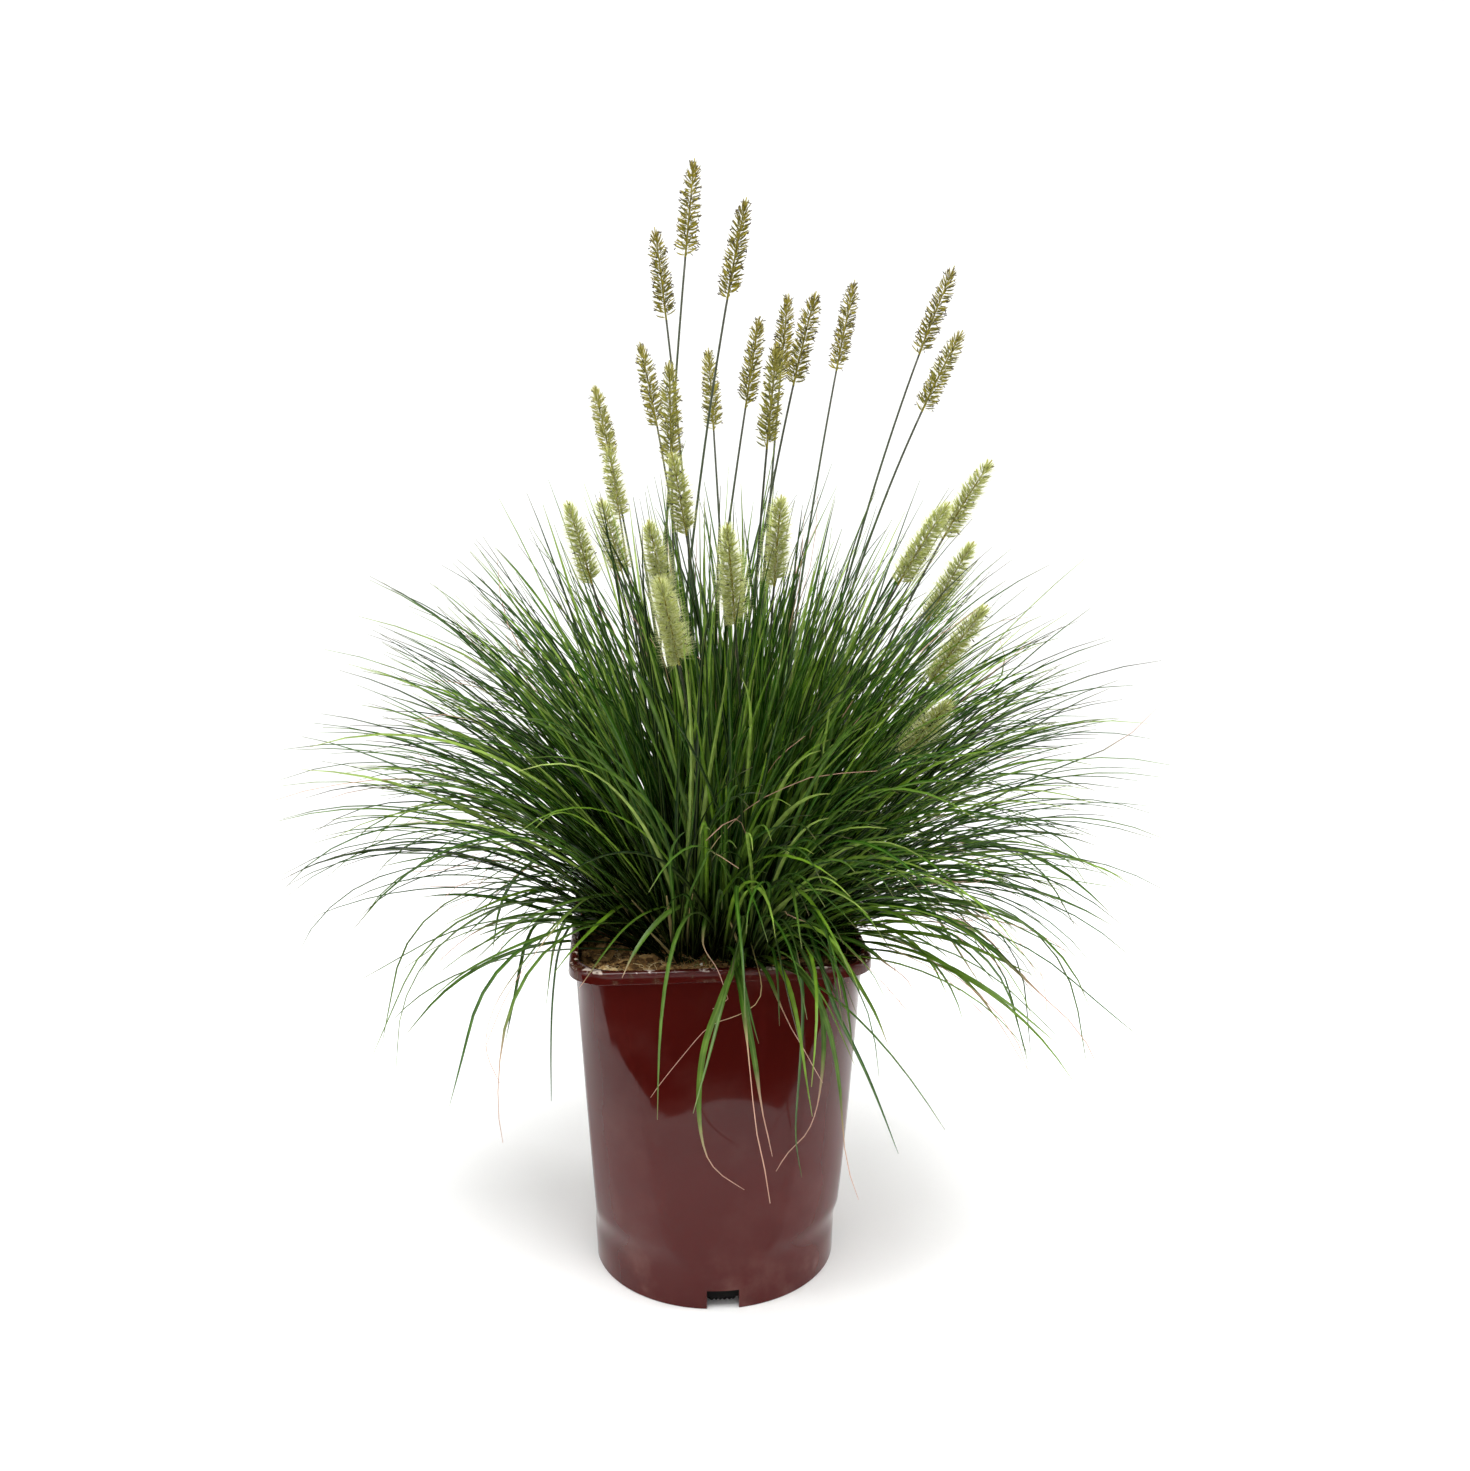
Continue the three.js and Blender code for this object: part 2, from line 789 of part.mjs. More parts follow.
// Flower heads: a slim core whose skin is drawn out into rows of spikelets.
function headMesh(stem) {
  const points = pointsAlong(stem.curve, stem.neck, 1, HEAD.along);
  const along = points.map((_, i) => {
    const before = points[Math.max(i - 1, 0)];
    const after = points[Math.min(i + 1, points.length - 1)];
    return unit(sub(after, before));
  });
  const rings = [];
  let side = [1, 0, 0];
  for (let i = 0; i <= HEAD.along; i += 1) {
    const t = i / HEAD.along;
    const thick = Math.min(1, 0.55 + t * 6) * mix(1, 0.62, Math.max(0, (t - 0.7) / 0.3));
    side = unit(add(side, along[i], -dot(side, along[i])));
    const other = cross(along[i], side);
    const ring = [];
    for (let k = 0; k < HEAD.around; k += 1) {
      const angle = (k / HEAD.around) * 2 * Math.PI + t * 0.4;
      const out = add(add([0, 0, 0], side, Math.cos(angle)), other, Math.sin(angle));
      const spikelet = (i + k) % 2 === 1 && i > 0 && i < HEAD.along;
      const reach = (spikelet ? HEAD.spikeReach : HEAD.coreRadius) * thick;
      const lifted = spikelet ? add(points[i], along[i], HEAD.spikeLift) : points[i];
      ring.push(add(lifted, out, i === HEAD.along ? 0.9 : reach));
    }
    rings.push(ring);
  }
  const skin = { points: rings.flat(), faces: [], count: HEAD.around };
  for (let i = 0; i < HEAD.along; i += 1) {
    for (let k = 0; k < HEAD.around; k += 1) {
      const a = i * HEAD.around + k;
      const b = i * HEAD.around + ((k + 1) % HEAD.around);
      const c = a + HEAD.around;
      const d = b + HEAD.around;
      const split = (i + k) % 2 === 0;
      if (split) {
        skin.faces.push([a, b, d], [a, d, c]);
      } else {
        skin.faces.push([a, b, c], [b, d, c]);
      }
    }
  }
  cap(skin, 0, true);
  cap(skin, HEAD.along, false);
  return geometryOf(skin);
}

function piece(name, geometry, look) {
  const mesh = new THREE.Mesh(geometry, new THREE.MeshStandardMaterial(look));
  mesh.name = name;
  return mesh;
}

// The whole plant, from the pot upwards.
const plant = new THREE.Group();
plant.name = "potted_fountain_grass";

const random = seededRandom(SEED);
const places = shootPlaces();
for (const place of places) {
  place.leaves = [];
}
assignFlowers(places);
const placed = [];
growStems(places, random, placed);
growLeaves(places, random, placed);

plant.add(piece("pot", potMesh(), COLOURS.pot));
plant.add(piece("potting_mix", soilMesh(places), COLOURS.soil));
for (const [index, place] of places.entries()) {
  const number = String(index + 1).padStart(2, "0");
  plant.add(piece(`shoot_${number}`, shootMesh(place), COLOURS.leaf));
  if (place.stem) {
    plant.add(piece(`flower_head_${number}`, headMesh(place.stem), COLOURS.flower));
  }
}

export default plant;
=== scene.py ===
# %% [markdown]
# Potted fountain grass
#
# This lesson dresses a small clump of fountain grass in its nursery pot. The solid
# model that comes first has the pot, the potting mix, and one solid for each leafy
# shoot and each flower head. It says where everything is and how large it is. Blender
# adds what makes it look alive: two thousand fine leaves, spikelets with bristles, dry
# tips, soil with bark and fibres, and the finish of every surface.
#
# The first cell loads the solid model as a frame. Nothing in it is moved.

# %% Load the frame
import math

import bpy
import numpy as np
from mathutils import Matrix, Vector, noise


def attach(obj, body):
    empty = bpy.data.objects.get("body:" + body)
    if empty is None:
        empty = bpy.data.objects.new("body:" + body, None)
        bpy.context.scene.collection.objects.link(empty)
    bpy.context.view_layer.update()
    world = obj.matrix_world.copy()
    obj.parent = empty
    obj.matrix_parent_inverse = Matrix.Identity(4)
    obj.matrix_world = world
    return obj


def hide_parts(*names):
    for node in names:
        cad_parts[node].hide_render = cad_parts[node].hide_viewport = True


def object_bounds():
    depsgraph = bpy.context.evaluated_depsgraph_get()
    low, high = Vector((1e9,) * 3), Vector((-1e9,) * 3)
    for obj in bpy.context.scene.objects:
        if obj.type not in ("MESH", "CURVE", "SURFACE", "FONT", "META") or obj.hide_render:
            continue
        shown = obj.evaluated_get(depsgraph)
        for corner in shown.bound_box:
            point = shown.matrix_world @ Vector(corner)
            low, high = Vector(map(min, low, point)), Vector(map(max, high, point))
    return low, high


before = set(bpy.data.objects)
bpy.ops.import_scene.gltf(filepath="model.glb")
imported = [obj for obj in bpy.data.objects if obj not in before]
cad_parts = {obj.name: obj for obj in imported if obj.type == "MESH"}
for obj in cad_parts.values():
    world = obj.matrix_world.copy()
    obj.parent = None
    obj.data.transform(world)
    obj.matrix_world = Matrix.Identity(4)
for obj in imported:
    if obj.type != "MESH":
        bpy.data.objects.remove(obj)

CAD_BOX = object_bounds()
print("solid model, metres:", [[round(v, 3) for v in corner] for corner in CAD_BOX])

# %% [markdown]
# The camera
#
# A camera can be placed by eye, or worked out from something of known shape. Here the
# pot's rim, wall and foot in the photograph were fitted to a 200 mm pot, which gives
# the height of the camera, its distance and its tilt. The camera looks down a little,
# and stands slightly to the left of the pot's front, so that the pot seems turned.
# Depth of field stays off, because a product picture is sharp from front to back.

# %% Camera
MM = 0.001
CAMERA_PLACE = (-61 * MM, -947 * MM, 576 * MM)
CAMERA_HEADING = math.radians(-4.6)
CAMERA_TILT = math.radians(-11.5)
LENS = 34.35
SENSOR = 36.0


def make_camera():
    """The camera of the photograph, as a viewer's eye 95 cm in front of the pot."""
    data = bpy.data.cameras.new("camera")
    data.sensor_fit = "HORIZONTAL"
    data.sensor_width = SENSOR
    data.lens = LENS
    data.clip_start = 0.01
    camera = bpy.data.objects.new("camera", data)
    camera.location = CAMERA_PLACE
    camera.rotation_euler = (math.pi / 2 + CAMERA_TILT, 0, CAMERA_HEADING)
    bpy.context.scene.collection.objects.link(camera)
    bpy.context.scene.camera = camera
    return camera


camera = make_camera()
print("camera", tuple(round(v, 3) for v in camera.location))

# %% [markdown]
# The rule by which the clump grows
#
# The solids were grown by a rule: shoots stand on a spiral, each flowering stem runs
# from its shoot to its head, and each leaf starts in its sheath and bends outwards,
# more so the further out it stands. To put fine leaves exactly where the solid ones
# are, one could measure the solids, or grow them again by the same rule. Growing them
# again is better, because the same rule then gives as many more leaves as wanted.
#
# All sizes in the rule are millimetres, as in the solid model.

# %% Sizes of the plant
POT_HEIGHT = 250
LIP_HALF_WIDTH = 100
LIP_HEIGHT = 8.5
LIP_CORNER = 26
BODY_HALF_WIDTH = 96
BODY_CORNER = 32
PANEL_FOOT = 84.5
FOOT_RADIUS = 87.5
FOOT_TAPER = 0.6
FOOT_BAND = 21
SWELL = 4
SWELL_PACE = 8
WALL = 2
FOOT_RING = 3
FLOOR_BOTTOM = 5
FLOOR_TOP = 7.5
NOTCH_WIDTH = 22
NOTCH_HEIGHT = 14

SOIL_TOP = 239
SOIL_CROWN = 4
SOIL_ROUGHNESS = 1.6

CROWN_X = 10
CROWN_Y = 2
CROWN_RADIUS = 60

SHOOTS = 27
SHEATH_RISE = 12
LEAVES_PER_SHOOT = 7
FALLEN_PER_SHOOT = 2
FALLEN_IN_FRONT = 1

LEAF_LENGTH = (262, 345)
FALLEN_LENGTH = (180, 275)
LEAF_WIDTH = (3.4, 4.6)
LEAF_STEPS = 5
LEAF_THICKNESS = 1.0
ROOT_RADIUS = 3.0
BASE_WIDTH = 1.6
TIP_WIDTH = 0.9

CULM_RADIUS = 1.1
CULM_STEPS = 5
HEAD_REACH = 10.5
KNEE_RISE = 0.62
STEM_TRIES = 200
LEAF_TRIES = 120
OUTWARD_LEAN = 0.78

SPREAD = 288
CLEARANCE = 0.45
GROWTH_SEED = 19

# %% [markdown]
# Flower heads stand where the photograph shows them. Each row is a head: where its
# tip is, sideways, backwards and up from the middle of the pot's foot, and how long
# the spike is, in millimetres.

# %% Where the flower heads stand
FLOWERS = [
    (-10, 10, 760, 62),
    (20, -30, 730, 62),
    (-35, 60, 725, 62),
    (65, -25, 675, 60),
    (60, 85, 685, 62),
    (35, 35, 665, 62),
    (35, -75, 640, 66),
    (5, 120, 650, 62),
    (-30, -60, 630, 64),
    (-45, 135, 655, 66),
    (115, 130, 700, 70),
    (170, 45, 700, 64),
    (170, 15, 655, 60),
    (180, -35, 570, 60),
    (140, -90, 545, 62),
    (180, 5, 515, 64),
    (170, -75, 480, 66),
    (140, -110, 425, 52),
    (0, -130, 535, 68),
    (35, -100, 550, 60),
    (-45, -95, 535, 60),
    (-40, -145, 505, 64),
    (-30, -85, 575, 54),
    (-95, -45, 545, 56),
    (-75, 5, 545, 54),
    (-70, 115, 580, 58),
    (-80, 165, 625, 62),
]

# %% [markdown]
# Seeded chance
#
# A plant needs chance, but the same chance on every run. This small generator gives
# the same numbers as the one that grew the solids.

# %% Random numbers and simple helpers
WORD = 0xFFFFFFFF


def seeded_random(seed):
    """Returns a function that gives numbers from 0 to 1, alike on every run."""
    state = [seed & WORD]

    def following():
        state[0] = (state[0] + 0x6D2B79F5) & WORD
        t = state[0]
        t = ((t ^ (t >> 15)) * (t | 1)) & WORD
        t ^= (t + (((t ^ (t >> 7)) * (t | 61)) & WORD)) & WORD
        return (t ^ (t >> 14)) / 4294967296

    return following


def mix(a, b, t):
    """The value a share t of the way from a to b."""
    return a + (b - a) * t


def unit(rows):
    """Vectors along the last axis, at length one."""
    rows = np.asarray(rows, float)
    size = np.linalg.norm(rows, axis=-1, keepdims=True)
    return rows / np.maximum(size, 1e-12)


print("first random number:", round(seeded_random(GROWTH_SEED)(), 4))

# %% [markdown]
# The top of the potting mix swells a little under the clump. The shoots stand on the
# spiral of a daisy, which fills a disc evenly with no rows to be seen.

# %% Soil height and places of the shoots


def soil_height(x, y):
    """Height of the top of the mix, without its crumb."""
    far = math.hypot(x - CROWN_X, y - CROWN_Y) / BODY_HALF_WIDTH
    swell = SOIL_CROWN * math.exp(-far * far * 2.5)
    ripple = math.sin(x * 0.11 + 1) * math.cos(y * 0.13) + 0.6 * math.sin(y * 0.21 - x * 0.07)
    return SOIL_TOP - SOIL_CROWN + swell + SOIL_ROUGHNESS * ripple


def shoot_places():
    """The places of the shoots, one after another on the spiral."""
    golden = math.pi * (3 - math.sqrt(5))
    places = []
    for i in range(SHOOTS):
        share = math.sqrt((i + 0.5) / SHOOTS)
        x = CROWN_X + CROWN_RADIUS * share * math.cos(i * golden)
        y = CROWN_Y + CROWN_RADIUS * share * math.sin(i * golden)
        places.append({"x": x, "y": y, "flower": None, "leaves": []})
    return places


def flower_spread(flower):
    """How far from the middle of the clump a head stands."""
    return math.hypot(flower[0] - CROWN_X, flower[1] - CROWN_Y)


def assign_flowers(places):
    """Gives each flower the free shoot nearest under it, the outermost flower first."""
    pull = 0.36
    for flower in sorted(FLOWERS, key=flower_spread, reverse=True):
        best = None
        for place in places:
            dx = CROWN_X + (flower[0] - CROWN_X) * pull - place["x"]
            dy = CROWN_Y + (flower[1] - CROWN_Y) * pull - place["y"]
            distance = math.hypot(dx, dy)
            if place["flower"] is None and (best is None or distance < best[1]):
                best = (place, distance)
        best[0]["flower"] = flower


places = shoot_places()
assign_flowers(places)
print("shoots:", len(places), "with a flower:", sum(p["flower"] is not None for p in places))

# %% [markdown]
# Keeping clear
#
# Leaves that cut through each other look wrong, and solids must not overlap at all.
# Each stem or leaf is treated as a chain of straight stretches with a thickness, and
# a new one is kept only if its stretches stay clear of all that grew before. The
# distance between two stretches is a short formula, done here for thousands of pairs
# at once with arrays.

# %% Distances between stretches


def stretch_gaps(a, b, c, d):
    """Distances between every stretch a-b and every stretch c-d."""
    u = (b - a)[:, None, :]
    v = (d - c)[None, :, :]
    w = a[:, None, :] - c[None, :, :]
    uu = (u * u).sum(-1)
    uv = (u * v).sum(-1)
    vv = (v * v).sum(-1)
    uw = (u * w).sum(-1)
    vw = (v * w).sum(-1)
    den = uu * vv - uv * uv
    safe = np.where(den > 1e-9, den, 1.0)
    s = np.where(den > 1e-9, np.clip((uv * vw - vv * uw) / safe, 0, 1), 0.0)
    t = np.clip((uv * s + vw) / vv, 0, 1)
    s = np.clip((uv * t - uw) / uu, 0, 1)
    gap = w + u * s[..., None] - v * t[..., None]
    return np.sqrt((gap * gap).sum(-1))


class Clearing:
    """The stretches of everything that has grown so far."""

    def __init__(self):
        self.ends = np.zeros((0, 2, 3))
        self.boxes = np.zeros((0, 2, 3))
        self.facts = np.zeros((0, 4))

    def grow(self, points, radii, shoot, first):
        """Adds a strand. Its stretches before the first may touch their own shoot."""
        count = len(points) - 1
        reach = np.maximum(radii[:-1], radii[1:])
        box = strand_box(points, radii)
        numbers = np.arange(count)
        facts = np.stack([reach, numbers, np.full(count, shoot), np.full(count, first)], 1)
        self.ends = np.concatenate([self.ends, np.stack([points[:-1], points[1:]], 1)])
        self.boxes = np.concatenate([self.boxes, np.repeat(box[None], count, 0)])
        self.facts = np.concatenate([self.facts, facts])

    def is_clear(self, points, radii, shoot, first):
        """True where a new strand stays clear of all that has grown."""
        low, high = strand_box(points, radii)
        near = (low <= self.boxes[:, 1] + CLEARANCE).all(1)
        near &= (self.boxes[:, 0] <= high + CLEARANCE).all(1)
        if not near.any():
            return True
        facts = self.facts[near]
        ends = self.ends[near]
        reach = np.maximum(radii[:-1], radii[1:])
        gaps = stretch_gaps(points[:-1], points[1:], ends[:, 0], ends[:, 1])
        gaps -= reach[:, None] + facts[None, :, 0]
        start = np.where(facts[:, 2] == shoot, np.maximum(facts[:, 3], first), 0)
        numbers = np.arange(len(points) - 1)
        counts = (numbers[:, None] >= start[None, :]) & (facts[None, :, 1] >= start[None, :])
        return not (counts & (gaps < CLEARANCE)).any()


def strand_box(points, radii):
    """The low and the high corner of the box round a strand."""
    return np.stack([(points - radii[:, None]).min(0), (points + radii[:, None]).max(0)])


# %% [markdown]
# Flowering stems
#
# A stem is one smooth curve with three handles: the shoot, a knee, and the tip of the
# head. Points at even distances along it come from a table of lengths.

# %% Grow the stems


class StemCurve:
    """A smooth curve with three handles, and a table of its lengths."""

    def __init__(self, root, knee, tip):
        self.handles = [np.array(p, float) for p in (root, knee, tip)]
        self.shares = np.linspace(0, 1, 201)
        steps = np.linalg.norm(np.diff(self.at(self.shares), axis=0), axis=1)
        self.lengths = np.concatenate([[0], np.cumsum(steps)])
        self.length = self.lengths[-1]

    def at(self, t):
        """Points of the curve, from its start at 0 to its end at 1."""
        t = np.asarray(t)[:, None]
        root, knee, tip = self.handles
        return (1 - t) ** 2 * root + 2 * (1 - t) * t * knee + t * t * tip

    def along(self, start, end, steps):
        """Points spaced evenly from one share of the length to another."""
        wanted = (start + (end - start) * np.arange(steps + 1) / steps) * self.length
        return self.at(np.interp(wanted, self.lengths, self.shares))


def try_stem(root, flower, lean, sway):
    """A stem from a root to the tip of a head, by way of a knee."""
    x, y, z, _ = flower
    knee = (
        mix(root[0], x, lean) + sway[0],
        mix(root[1], y, lean) + sway[1],
        mix(root[2], z, KNEE_RISE),
    )
    return StemCurve(root, knee, (x, y, z))


def grow_stems(places, chance, clearing):
    """Draws each stem again, with more and more sway, until it is clear of the others."""
    for shoot, place in enumerate(places):
        root = (place["x"], place["y"], soil_height(place["x"], place["y"]) + SHEATH_RISE - 5)
        for attempt in range(STEM_TRIES):
            reach = 4 + attempt * 0.25
            sway = [(chance() - 0.5) * reach, (chance() - 0.5) * reach]
            curve = try_stem(root, place["flower"], mix(0.3, 0.5, chance()), sway)
            neck = 1 - place["flower"][3] / curve.length
            stem = curve.along(0, neck, CULM_STEPS * 2)
            head = curve.along(neck, 1, 4)
            stem_radii = np.full(len(stem), CULM_RADIUS)
            head_radii = np.array([7.0] + [HEAD_REACH + 1.0] * 4)
            stem_clear = clearing.is_clear(stem, stem_radii, shoot, 1)
            if stem_clear and clearing.is_clear(head, head_radii, -1 - shoot, 0):
                clearing.grow(stem, stem_radii, shoot, 1)
                clearing.grow(head, head_radii, -1 - shoot, 0)
                place["stem"] = curve
                place["neck"] = neck
                break


chance = seeded_random(GROWTH_SEED)
clearing = Clearing()
grow_stems(places, chance, clearing)
print("stems grown:", sum("stem" in place for place in places))

# %% [markdown]
# Leaves of the solid model
#
# A leaf's habit is a handful of numbers: which way it heads, how steeply it starts,
# how far it has turned down at its tip, and how early. Standing leaves keep their
# arch for the whole length. The outermost ones bow low and droop over the lip.

# %% Habits of the leaves


def habit_path(root, habit, steps, keep):
    """The points of a leaf with this habit, keeping every so many steps."""
    points = [np.array(root, float)]
    at = points[0]
    for i in range(steps):
        t = (i + 0.5) / steps
        turned = min(t / habit["settled"], 1) ** habit["power"]
        pitch = (habit["start"] - habit["bend"] * turned) * (math.pi / 180)
        heading = habit["azimuth"] + habit["sweep"] * t
        flat = math.cos(pitch)
        direction = (flat * math.cos(heading), flat * math.sin(heading), math.sin(pitch))
        at = at + np.array(direction) * (habit["length"] / steps)
        if i % keep == keep - 1:
            points.append(at)
    return np.array(points)


def standing_habit(lean, azimuth, chance):
    """The further out a leaf leans, the lower it starts and the more it bends."""
    far = min(lean, 1.15)
    return {
        "azimuth": azimuth + (chance() - 0.5) * 0.5,
        "start": mix(88, 47, far),
        "bend": mix(6, 88, min(far, 1) ** 1.2) * mix(0.8, 1.35, chance()),
        "power": 1.7,
        "settled": 1,
        "sweep": (chance() - 0.5) * 0.5,
        "length": mix(*LEAF_LENGTH, chance()) * mix(1, 0.9, far),
        "width": mix(*LEAF_WIDTH, chance()),
        "fallen": False,
    }


def fallen_habit(azimuth, chance):
    """A leaf of an outer shoot, which droops over the lip."""
    return {
        "azimuth": azimuth + (chance() - 0.5) * 0.7,
        "start": mix(30, 56, chance()),
        "bend": mix(78, 132, chance()),
        "power": 1.2,
        "settled": mix(0.6, 1, chance()),
        "sweep": (chance() - 0.5) * 0.8,
        "length": mix(*FALLEN_LENGTH, chance()),
        "width": mix(*LEAF_WIDTH, chance()),
        "fallen": True,
    }


# %% Grow the leaves of the solid model


def solid_width(t, width):
    """Width of a solid leaf at a share of its length."""
    if t < 0.3:
        return mix(BASE_WIDTH, width, math.sin((t / 0.3) * (math.pi / 2)))
    return mix(width, TIP_WIDTH, ((t - 0.3) / 0.7) ** 1.6)


def try_leaf(place, shoot, k, chance):
    """Points and habit of a shoot's leaf number k, as chance has it."""
    top = soil_height(place["x"], place["y"]) + SHEATH_RISE - 3
    out_x = (place["x"] - CROWN_X) / CROWN_RADIUS
    out_y = (place["y"] - CROWN_Y) / CROWN_RADIUS
    most = FALLEN_IN_FRONT if out_y < -0.5 else FALLEN_PER_SHOOT
    fallen = k < most and math.hypot(out_x, out_y) > 0.7
    outward = math.atan2(out_y, out_x)
    turn = ((k + chance() * 0.7) / LEAVES_PER_SHOOT + shoot * 0.381) * 2 * math.pi
    if fallen:
        turn = outward + (k - 0.5 + chance() * 0.3) * 1.1
    root_x = math.cos(turn)
    root_y = math.sin(turn)
    lean_x = out_x * OUTWARD_LEAN + root_x * mix(0.2, 0.36, chance())
    lean_y = out_y * OUTWARD_LEAN + root_y * mix(0.2, 0.36, chance())
    azimuth = math.atan2(lean_y, lean_x)
    lean = math.hypot(lean_x, lean_y)
    habit = fallen_habit(azimuth, chance) if fallen else standing_habit(lean, azimuth, chance)
    root = (place["x"] + root_x * ROOT_RADIUS, place["y"] + root_y * ROOT_RADIUS, top)
    return habit_path(root, habit, LEAF_STEPS * 2, 2), habit


def point_clears_pot(point, radius):
    """True where a leaf touches neither pot nor mix here, and hasn't spread too far."""
    x, y, z = point
    far = max(abs(x), abs(y))
    outside = LIP_HALF_WIDTH + LEAF_THICKNESS + radius
    over_wall = far > BODY_HALF_WIDTH - WALL - LEAF_THICKNESS - radius
    floor = POT_HEIGHT if over_wall else soil_height(x, y)
    if far < outside and z < floor + LEAF_THICKNESS + radius:
        return False
    return far + radius < SPREAD


def clears_pot(points, radii):
    """Tests points all along a leaf, but for its start in the sheath."""
    tests = 6
    for i in range(len(points) - 1):
        for k in range(2 if i == 0 else 0, tests + 1):
            at = points[i] + (points[i + 1] - points[i]) * (k / tests)
            if not point_clears_pot(at, radii[i + 1]):
                return False
    return True


def grow_leaves(places, chance, clearing):
    """Every shoot grows one leaf before any grows its next, so all find room."""
    for k in range(LEAVES_PER_SHOOT):
        for shoot, place in enumerate(places):
            for _ in range(LEAF_TRIES):
                points, habit = try_leaf(place, shoot, k, chance)
                shares = [i / LEAF_STEPS for i in range(len(points))]
                radii = np.array([solid_width(t, habit["width"]) for t in shares]) / 2 + 0.1
                if clears_pot(points, radii) and clearing.is_clear(points, radii, shoot, 1):
                    clearing.grow(points, radii, shoot, 1)
                    place["leaves"].append((points, habit))
                    break


grow_leaves(places, chance, clearing)
print("leaves of the solid model:", sum(len(place["leaves"]) for place in places))

# %% [markdown]
# Meshes from arrays
#
# A clump like this has thousands of small shapes. Particles or instances would be the
# quick way, but they are lost when a model is exported. So each small shape is written
# straight into one mesh, as arrays of points and faces, with a few numbers on each
# point that the materials read later: how far along a leaf it is, or how dry it is.

# %% Pile of small shapes, made into one mesh


class Pile:
    """Gathers small shapes, with marks for the materials, for one mesh."""

    def __init__(self, *marks):
        self.points = []
        self.quads = []
        self.triangles = []
        self.marks = {name: [] for name in marks}
        self.count = 0

    def add(self, points, quads=(), triangles=(), **marks):
        """Adds shapes of equal build: points are (shapes, points, 3)."""
        points = np.asarray(points, float)
        shapes, size = points.shape[:2]
        start = self.count + np.arange(shapes)[:, None, None] * size
        for faces, store, sides in ((quads, self.quads, 4), (triangles, self.triangles, 3)):
            if len(faces):
                store.append((np.asarray(faces)[None] + start).reshape(-1, sides))
        self.points.append(points.reshape(-1, 3))
        for name, store in self.marks.items():
            values = np.broadcast_to(marks.get(name, 0.0), (shapes, size))
            store.append(values.reshape(-1).astype(np.float32))
        self.count += shapes * size


def joined(stores, sides):
    """All the faces of one kind, or an empty array where there are none."""
    return np.concatenate(stores) if stores else np.zeros((0, sides), int)


def make_piece(name, pile, material, sharp=None):
    """One object from a pile. Edges sharper than the angle stay crisp."""
    quads = joined(pile.quads, 4)
    triangles = joined(pile.triangles, 3)
    points = np.concatenate(pile.points) * MM
    corners = np.concatenate([quads.ravel(), triangles.ravel()]).astype(np.int32)
    starts = np.concatenate([
        np.arange(len(quads)) * 4,
        len(quads) * 4 + np.arange(len(triangles)) * 3,
    ]).astype(np.int32)
    mesh = bpy.data.meshes.new(name)
    mesh.vertices.add(len(points))
    mesh.vertices.foreach_set("co", points.ravel().astype(np.float32))
    mesh.loops.add(len(corners))
    mesh.loops.foreach_set("vertex_index", corners)
    mesh.polygons.add(len(starts))
    mesh.polygons.foreach_set("loop_start", starts)
    mesh.polygons.foreach_set("use_smooth", np.ones(len(starts), bool))
    mesh.update(calc_edges=True)
    for mark, values in pile.marks.items():
        store = mesh.attributes.new(mark, "FLOAT", "POINT")
        store.data.foreach_set("value", np.concatenate(values))
    if sharp is not None:
        mesh.set_sharp_from_angle(angle=math.radians(sharp))
    mesh.materials.append(material)
    piece = bpy.data.objects.new(name, mesh)
    bpy.context.scene.collection.objects.link(piece)
    return piece


def triangles_of(pieces):
    """How many triangles some pieces have together."""
    return sum(len(p.vertices) - 2 for piece in pieces for p in piece.data.polygons)


print("marks a pile can carry:", list(Pile("along", "dry").marks))

# %% [markdown]
# Materials from few words
#
# A material in Blender is a web of nodes. This helper adds a node, sets or links its
# inputs, and returns it, so that each finish below reads like a recipe.

# %% Helper for nodes


def wire(tree, kind, inputs=None, **settings):
    """Adds a node. An input that is a socket is linked, any other value is set."""
    node = tree.nodes.new(kind)
    for name, value in settings.items():
        setattr(node, name, value)
    for name, value in (inputs or {}).items():
        socket = node.inputs[name]
        if isinstance(value, bpy.types.NodeSocket):
            tree.links.new(value, socket)
        elif socket.type == "RGBA" and len(value) == 3:
            socket.default_value = (*value, 1)
        else:
            socket.default_value = value
    return node


def new_material(name):
    """A material with an empty web of nodes."""
    material = bpy.data.materials.new(name)
    material.use_nodes = True
    material.node_tree.nodes.clear()
    return material, material.node_tree


def srgb(red, green, blue):
    """A colour as painters and cameras name it, 0 to 255, for Blender's linear nodes."""
    shares = [c / 255 for c in (red, green, blue)]
    return tuple(c / 12.92 if c <= 0.04045 else ((c + 0.055) / 1.055) ** 2.4 for c in shares)


def mark(tree, name):
    """Reads a mark that the mesh carries on its points."""
    return wire(tree, "ShaderNodeAttribute", attribute_name=name).outputs["Fac"]


def ramp(tree, fac, stops):
    """Colours along a scale from 0 to 1."""
    node = wire(tree, "ShaderNodeValToRGB", {"Fac": fac})
    while len(node.color_ramp.elements) < len(stops):
        node.color_ramp.elements.new(0.5)
    for element, (at, colour) in zip(node.color_ramp.elements, stops):
        element.position = at
        element.color = (*colour, 1)
    return node.outputs["Color"]


def blend(tree, fac, a, b, kind="MIX"):
    """Mixes colour b into colour a."""
    node = wire(tree, "ShaderNodeMix", data_type="RGBA", blend_type=kind)
    for socket, value in zip((node.inputs[0], node.inputs[6], node.inputs[7]), (fac, a, b)):
        if isinstance(value, bpy.types.NodeSocket):
            tree.links.new(value, socket)
        elif isinstance(value, tuple):
            socket.default_value = (*value, 1)
        else:
            socket.default_value = value
    return node.outputs[2]


